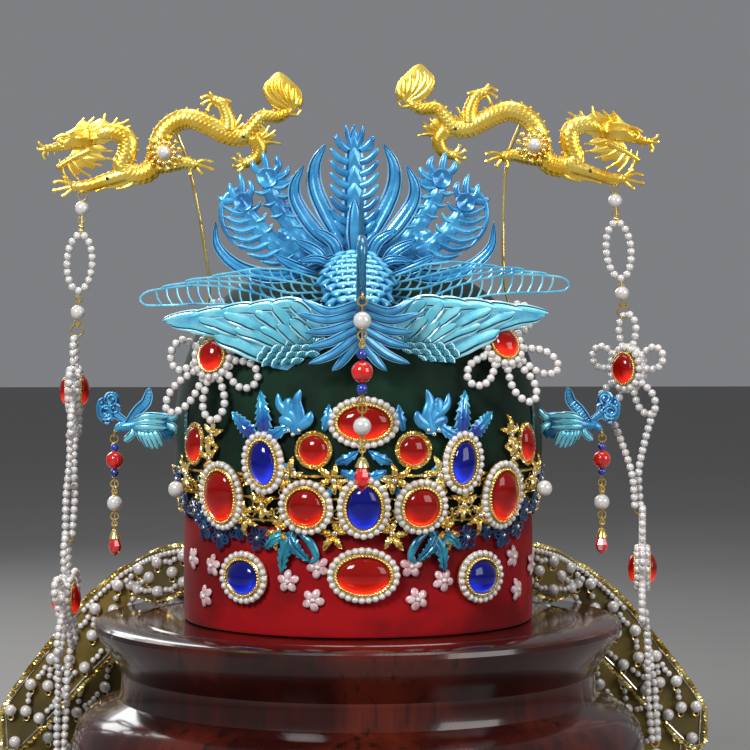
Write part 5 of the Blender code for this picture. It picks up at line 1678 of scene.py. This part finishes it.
# Where the sprigs are: azimuth, height and turn.
GOLD_SPRIGS = [
    (-50, 88, -14), (-49, 100, 10), (50, 88, 14), (49, 100, -10), (-8.5, 80, -50), (8.5, 80, 50),
    (-8.5, 53, 214), (8.5, 53, 146), (-30.5, 67, 0), (30.5, 67, 0), (-26, 54, 190), (26, 54, 170),
    (-22, 82, 20), (22, 82, -20), (-62, 80, -20), (62, 80, 20), (-37, 61, 180), (37, 61, 180),
]
BELT_HEIGHTS, BELT_HALF_ANGLE = (58.6, 70.0, 81.4), 83.0
BIRD_HEIGHT, BIRD_BACK, BIRD_EYELET = 102.0, -18.0, (31.8, 0, -3.4)
BIRD_BODY = [
    (0, 0.4, 6.3, 1.2), (8, 0.6, 7, 4.2), (17, 1, 5.8, 4.2), (23.5, 0.6, 3.2, 3), (28.5, 0.2, 2.2, 2.2),
    (31.8, -2, 1.1, 1.1),
]
BIRD_SKIRT = [
    (22, -0.6, 22.6, -3.6, 26.6, -7.0), (19, -1, 18, -4, 16.6, -7.4), (18, 0, 16, -5, 14.2, -10.2),
    (16.4, 0, 14, -5, 11.6, -11), (14.6, 0, 11.6, -5, 9.2, -11), (12.6, 0, 9.4, -4, 6.8, -9.6),
    (4, 2, 0.6, 0, -1.0, -3.0), (4, 5, 0.4, 6, -1.6, 9.0),
]
# Cloud of curls on the head: centre, radius and turns of each, then the stem.
BIRD_CURLS = [
    (36.0, 8.2, 4.6, 2.1), (37.6, 12.6, 3.6, 1.6), (33.4, 14.6, 4.2, 1.9), (31.6, 9.6, 3.2, 1.4),
    (35.0, 4.8, 3.0, 1.3),
]
BIRD_STEM = [(22.5, 1.6), (26.6, 3.6), (30.4, 6.4), (33.4, 8.6)]
BIRD_WING = [(24.4, 1.8), (19.4, 8.8), (15.0, 13.6), (13.4, 20.2)]
BEAK_DROP = [
    ("ring", 0, 2.2), ("pearl", -9.3, 4.4), ("ring", -16.4, 2.1), ("ring", -20.6, 1.4),
    ("blue", -25.6, 2.7), ("ball", -33.9, 5.4), ("blue", -42.2, 2.7), ("ring", -47.4, 1.6),
    ("ring", -51.6, 2.1), ("pearl", -60.0, 4.4), ("ring", -67.4, 2.0), ("ring", -71.4, 1.4),
    ("cap", -77.4, 3.4), ("drop", -79.6, 4.0, 11.6),
]
BIRD_DROP = [
    ("ring", 0, 2.0), ("blue", -4.6, 2.2), ("ball", -11.2, 4.7), ("blue", -17.8, 2.2), ("ring", -23.6, 2.0),
    ("ring", -27.4, 1.4), ("pearl", -33.8, 4.1), ("ring", -40.6, 2.1), ("ring", -44.6, 1.4),
    ("cap", -50.0, 3.0), ("drop", -52.0, 3.5, 9.2),
]


def around(rows):
    """Points on the velvet from (azimuth, height, lift) rows."""
    points = []
    for azimuth, height, lift in rows:
        a = math.radians(azimuth)
        radius = (BAND_OUTER if height < BAND_TOP else cap_at(height)[0]) + lift
        points.append((radius * math.sin(a), -radius * math.cos(a), height))
    return points


def bent_round(radius):
    """Wraps a flat shape in a seat's frame round a cylinder of that radius."""
    def change(points):
        depth, angle = radius + points[:, 2], points[:, 0] / radius
        return np.stack([depth * np.sin(angle), points[:, 1], depth * np.cos(angle) - radius], axis=-1)

    return change


def leaf(x, y, lean, length, half, low=0.3, teeth=7, wall=1.0, cells=(14, 43)):
    """A toothed leaf with veins, in a seat's frame, its foot at (x, y)."""
    a = math.radians(lean)
    ahead = np.array((math.sin(a), math.cos(a), 0))
    foot = np.array((x, y, low))
    sway = np.array((math.cos(a), -math.sin(a), 0)) * length * 0.06
    line = Path(
        [foot, foot + ahead * length * 0.5 + sway + (0, 0, 2.2), foot + ahead * length + (0, 0, 1.0)]
    )

    def width(v):
        tooth = 1 - 0.34 * (v * teeth - np.floor(v * teeth)) * (v > 0.08)
        return half * np.minimum(1, 0.25 + 2.4 * v) * np.maximum(0, 1 - v ** 2.6) ** 0.8 * tooth

    def relief(a, v):
        veins = np.abs(np.sin((v * teeth + a * 1.2) * math.pi))
        swell = 1.5 * (1 - a) ** 0.7 * np.sin(math.pi * np.clip(v + 0.15, 0, 1))
        return swell + 0.4 * veins * a - 0.9 * np.exp(-(a * 7) ** 2)

    return ribbon(line, width, face=UP, relief=relief, cells=cells, wall=wall)


def make_leaves(finish, bead):
    """Toothed blue leaves and forked clouds above the jewels, and teal leaves under them."""
    spray_radius = cap_at(101)[0] + 1.2
    cloud = []
    for points in CLOUD:
        line = Path([(x, y, 1.6) for x, y in points])
        cloud.append(rod(line, pointed(3.0, 0.9), pointed(1.5, 0.9), face=UP, cells=(12, 24)))
    for side, sign in (("left", 1), ("right", -1)):
        mirror = Matrix.Identity(4) if sign > 0 else MIRROR
        bend, low_bend = bent_round(spray_radius), bent_round(BAND_OUTER + 1.2)
        place = seat(-30 * sign, 101, spray_radius)
        low_place = seat(-22 * sign, 50, BAND_OUTER + 1.2)
        leaves = [leaf(*row).at(mirror).shaped(bend).at(place) for row in SPRAY_LEAVES]
        clouds = [s.at(mirror).shaped(bend).at(place) for s in cloud]
        for azimuth, height, lean in FILL_LEAVES:
            spot = on_cap(-azimuth * sign, height, 0.6) @ mirror
            clouds.append(leaf(0, 0, lean, 13, 3.4, teeth=3, wall=0.7, cells=(8, 19)).at(spot))
        low = [leaf(*row, teeth=6).at(mirror).shaped(low_bend).at(low_place) for row in LOW_LEAVES]
        curl = rod(
            Path([(4, 3, 1.4), (10, -2, 2.2), (13, -9, 2.0), (9.4, -12, 1.6)]), pointed(2.2), pointed(1.3),
            face=UP, cells=(10, 20),
        )
        low.append(curl.at(mirror).shaped(low_bend).at(low_place))
        name = f"leaf_spray_{side}"
        piece(f"{name}_leaves", leaves, finish["leaf"], [name])
        piece(f"{name}_cloud", clouds, finish["azure_plain"])
        piece(f"low_leaf_{side}_leaves", low, finish["teal"], [f"low_leaf_{side}"])
        sparks = [
            (x, y, 2.6)
            for x, y in ((-2, -4), (1.6, -5.4), (-5, -6.4), (4.4, -3), (0, -8), (17, 1), (20, 3), (14.6, 3))
        ]
        gems = beads(sparks, 1.25, bead).at(mirror).shaped(bend).at(place)
        piece(f"{name}_rhinestones", [gems], finish["silver"])


def make_belt(finish, bead):
    """The pierced gold belt: rope rails, scrolls, sprigs of leaves and small rhinestones."""
    rails, scrolls, dots = [], [], []
    angles = np.linspace(-BELT_HALF_ANGLE, BELT_HALF_ANGLE, 260)
    for height in BELT_HEIGHTS:
        for start in (0, math.pi):
            rails.append(around([
                (a, height + 0.55 * math.sin(a * 4 + start), 1.1 + 0.45 * math.cos(a * 4 + start))
                for a in angles
            ]))
    for column in range(36):
        middle = -BELT_HALF_ANGLE + (column + 0.5) * 2 * BELT_HALF_ANGLE / 36
        for row, (low, high) in enumerate(zip(BELT_HEIGHTS, BELT_HEIGHTS[1:])):
            sign = 1 if (column + row) % 2 else -1
            turns = np.linspace(0, 2.6 * math.pi, 16)
            for end in (1, -1):
                cx, cz = middle - 0.9 * sign * end, (low + high) / 2 + 2.3 * end
                reach = 3.1 - 0.32 * turns
                scrolls.append(around([
                    (
                        cx + math.degrees(r * math.cos(t * sign * end + 1.2) / 97),
                        cz + r * math.sin(t * sign * end + 1.2), 1.2,
                    )
                    for t, r in zip(turns, reach)
                ]))
            dots.append((middle + 1.9, (low + high) / 2, 1.5))
    fine = wires(scrolls, 0.5, roundness=0)
    gold = [wires(rails, 0.5, roundness=0), fine, beads(around(dots), 0.95, bead)]
    piece("gold_belt_filigree", gold, finish["gold"], ["gold_belt"])
    sprigs, gems = [], []
    for azimuth, height, turn in GOLD_SPRIGS:
        lift = 2.0 if BAND_TOP < height < 84 else 0.9
        place = on_cap(azimuth, height, lift, -turn)
        shapes = [leaf(*row, teeth=4, wall=0.5, cells=(6, 17)) for row in SPRIG_LEAVES]
        shapes.append(wires([[(0, -6, 0.6), (0, 6, 0.8)]], 0.5))
        sprigs.extend(s.at(place) for s in shapes)
        gems.extend(beads([(x, y, 1.9)], r, bead).at(place) for x, y, r in SPRIG_GEMS)
    piece("gold_sprigs", sprigs, finish["gold"])
    piece("sprig_rhinestones", gems, finish["silver"])


def make_small_flowers(finish, bead):
    """Pink crystal flowers on the band, dark pierced ones under the belt, and black strips down the cap."""
    petals, hearts, loops, dark_hearts = [], [], [], []
    for index, (azimuth, height) in enumerate(PINK_FLOWERS):
        place = on_cap(azimuth, height, 0.3, index * 23.0)
        for k in range(5):
            petals.append(
                bead.at(place @ spin(72 * k) @ move(y=3.5, z=0.9) @ spin(-16, "X") @ size(2.2, 2.7, 1.0))
            )
        hearts.append(bead.at(place @ move(z=1.9) @ size(1.35)))
    for index, (azimuth, height) in enumerate(DARK_FLOWERS):
        place = on_cap(azimuth, height, 1.6, index * 31.0)
        for k in range(5):
            loop = Path(
                [(2.1 * math.cos(t), 4.0 + 2.5 * math.sin(t), 0.5) for t in np.arange(8) * math.tau / 8],
                closed=True,
            )
            loops.append(wires([loop.points(17)[:-1]], 0.62, closed=True).at(place @ spin(72 * k)))
            loops.append(wires([[(0, 0, 0.4), (0, 5.6, 0.5)]], 0.5).at(place @ spin(72 * k)))
        loops.append(turned([(1.9, -1.4), (2.4, 0.3), (1.5, 1.0)], 10).at(place))
        dark_hearts.append(bead.at(place @ move(z=1.3) @ size(1.3)))
    piece("pink_flower_petals", petals, finish["pink"])
    piece("pink_flower_pearls", hearts, finish["pearl"])
    piece("dark_flower_loops", loops, finish["navy"])
    piece("dark_flower_rhinestones", dark_hearts, finish["silver"])
    for side, sign in (("left", -1), ("right", 1)):
        line = Path(around([(sign * 66.5, z, 0.5) for z in (80, 90, 101, 112, 121)]))
        a = math.radians(sign * 66.5)
        strip = ribbon(
            line, lambda v: 2.1 * np.maximum(0.05, 1 - (2 * v - 1) ** 12), (math.sin(a), -math.cos(a), 0),
            cells=(4, 24), wall=0.6,
        )
        piece(f"black_strip_{side}", [strip], finish["black"])


def ladder(a, v):
    """Relief of a small wing: a raised edge with rungs inside it."""
    return 0.9 * (a > 0.62) + 0.5 * np.abs(np.sin(v * 40)) * (a < 0.62)


def make_side_birds(finish):
    """The two small phoenixes on the cap's sides, looking outwards."""
    line = Path([(x, 0, z, high, deep) for x, z, high, deep in BIRD_BODY])

    def ends(v):
        return np.clip(1 - (2 * v - 1) ** 14, 0, 1) ** 0.5

    body = [rod(
        line, lambda v: line.at(v)[:, 3] * ends(v), lambda v: line.at(v)[:, 4] * ends(v), cells=(36, 90),
        relief=scaled(13, 14, 0.55),
    )]
    feathers, lights = [], []
    for index, (x0, z0, x1, z1, x2, z2) in enumerate(BIRD_SKIRT):
        path = Path([(x0, -2.2, z0), (x1, -3.2 - 0.15 * index, z1), (x2, -1.6, z2)])
        feathers.append(ribbon(path, rounded(2.1), relief=ridged(0.9), cells=(12, 16), wall=0.8))
    for row, (z, start) in enumerate(((5.4, 6), (2.6, 8), (-0.4, 7))):
        path = Path(
            [(21, -3.0, z * 0.6 + 0.4), (14, -4.6 - 0.2 * row, z + 0.6), (start - 3, -3.4, z + 0.2)]
        )
        feathers.append(ribbon(path, pointed(2.2, 0.8), relief=ridged(0.8), cells=(12, 20), wall=0.7))
    wing = Path([(x, -1.8, z) for x, z in BIRD_WING])
    lights.append(ribbon(wing, rounded(3.0, 0.8), relief=ladder, cells=(14, 60), wall=1.0))
    stem = Path([(x, -0.6, z) for x, z in BIRD_STEM])
    lights.append(ribbon(stem, lambda v: 1.6 + 0.8 * v, relief=ridged(0.7), cells=(12, 14), wall=1.0))
    outline = [
        (30.4, 6), (35, 1.9), (39.4, 4), (41.0, 8), (40.6, 12.6), (37.4, 15.2), (35.2, 18.2), (31, 17.8),
        (29.2, 14), (29, 9),
    ]
    lights.append(plate(smooth_outline(outline, 60), 1.6))
    for x, z, reach, turns in BIRD_CURLS:
        t = np.linspace(0, turns * math.tau, 26)
        grown = reach * (0.22 + 0.7 * t / t[-1])
        curl = np.stack([x + grown * np.cos(t + x), -1.3 + 0 * t, z + grown * np.sin(t + x)], axis=-1)
        lights.append(wires([curl], 0.62))
    eye = [ring(0.9, 0.35, 12, 6).at(move(27.4, -2.4, 0.8) @ FACING_FRONT)]
    eyelet = [ring(1.7, WIRE).at(move(*BIRD_EYELET) @ spin(90, "Y"))]
    edge = math.sqrt((cap_at(BIRD_HEIGHT)[0] + 0.5) ** 2 - BIRD_BACK ** 2)
    for side, mirror in SIDES:
        place = mirror @ move(edge, BIRD_BACK, BIRD_HEIGHT)
        name = f"side_bird_{side}"
        piece(
            f"{name}_body", [s.at(place) for s in body + eye], finish["azure_plain"], [name],
            50,
        )
        piece(f"{name}_feathers", [s.at(place) for s in feathers], finish["sky"])
        piece(f"{name}_plumes", [s.at(place) for s in lights], finish["azure"])
        piece(f"{name}_eyelet", [s.at(place) for s in eyelet], finish["gold"])


def hung_drop(name, rows, place, finish, bead, round_bead):
    """A wired drop of rings, beads and a faceted point, from its top ring downwards."""
    made = {kind: [] for kind in ("gold", "pearl", "cobalt", "coral", "ruby")}
    for kind, z, radius, *more in rows:
        at = move(z=z)
        if kind == "ring":
            made["gold"].append(ring(radius, WIRE).at(at @ FACING_FRONT))
        elif kind == "cap":
            cup = [
                (radius * 0.25, 2.6), (radius * 0.55, 1.8), (radius, -1.4), (radius * 1.08, -2.4),
                (0.5, -2.0),
            ]
            made["gold"].append(turned(cup, 9).at(at))
        elif kind == "drop":
            (length,) = more
            facets = [
                (radius * 0.5, 0.4), (radius * 0.7, -1.4), (radius, -length * 0.45),
                (radius * 0.8, -length * 0.76), (0.4, -length),
            ]
            made["ruby"].append(turned(facets, 8).at(at))
        else:
            made[{"pearl": "pearl", "blue": "cobalt", "ball": "coral"}[kind]].append(
                round_bead.at(at @ size(radius))
            )
            for end in (-1, 1):
                made["gold"].append(
                    turned([(0.9, -0.3), (1.5, 0.0), (0.9, 0.3)], 10).at(at @ move(z=end * (radius + 0.1)))
                )
    last = rows[-1][1] - 1.0
    made["gold"].append(wires([[(0, 0, -rows[0][2]), (0, 0, last)]], WIRE))
    for kind, shapes in made.items():
        replaces = [name] if kind == "gold" else []
        piece(
            f"{name}_{kind}", [s.at(place) for s in shapes], finish[kind], replaces,
            30 if kind == "ruby" else 45,
        )


def make_drops_and_pins(finish, bead, round_bead):
    """The drops under the three beaks and the pearl-headed pins at the belt's ends."""
    hung_drop("beak_drop", BEAK_DROP, PHOENIX @ move(0, -50.5, BEAK[-1][2] - 2.9), finish, bead, round_bead)
    edge = math.sqrt((cap_at(BIRD_HEIGHT)[0] + 0.5) ** 2 - BIRD_BACK ** 2)
    for side, sign in (("left", -1), ("right", 1)):
        place = move(sign * (edge + BIRD_EYELET[0]), BIRD_BACK, BIRD_HEIGHT + BIRD_EYELET[2] - 2.65)
        hung_drop(f"bird_drop_{side}", BIRD_DROP, place, finish, bead, round_bead)
        pin = seat(sign * 64, 71.5, cap_at(71.5)[0] + 1.7)
        name = f"side_pin_{side}"
        stem = turned([(1.0, 0.3), (1.0, 3.4), (2.6, 3.8), (2.9, 4.6), (1.2, 5.2)], 16)
        piece(f"{name}_stem", [stem.at(pin)], finish["gold"], [name])
        piece(f"{name}_pearl", [round_bead.at(pin @ move(z=7.6) @ size(4.2))], finish["pearl"])


def main():
    """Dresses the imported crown."""
    set_stage()
    finish = make_finishes()
    bead, round_bead = ball(2), ball(3)
    make_stand(finish)
    make_cap(finish)
    make_jewels(finish, ball(1), round_bead)
    make_cap_flowers(finish, bead)
    make_strings(finish, bead, round_bead)
    scale = fan_scale()
    make_front_wings(finish, scale)
    make_net_wings(finish)
    make_tail(finish)
    make_body(finish, scale)
    make_dragons(finish, bead, round_bead)
    make_back_wings(finish, bead, round_bead)
    make_leaves(finish, bead)
    make_belt(finish, bead)
    make_small_flowers(finish, bead)
    make_side_birds(finish)
    make_drops_and_pins(finish, bead, round_bead)


main()
bpy.context.view_layer.update()
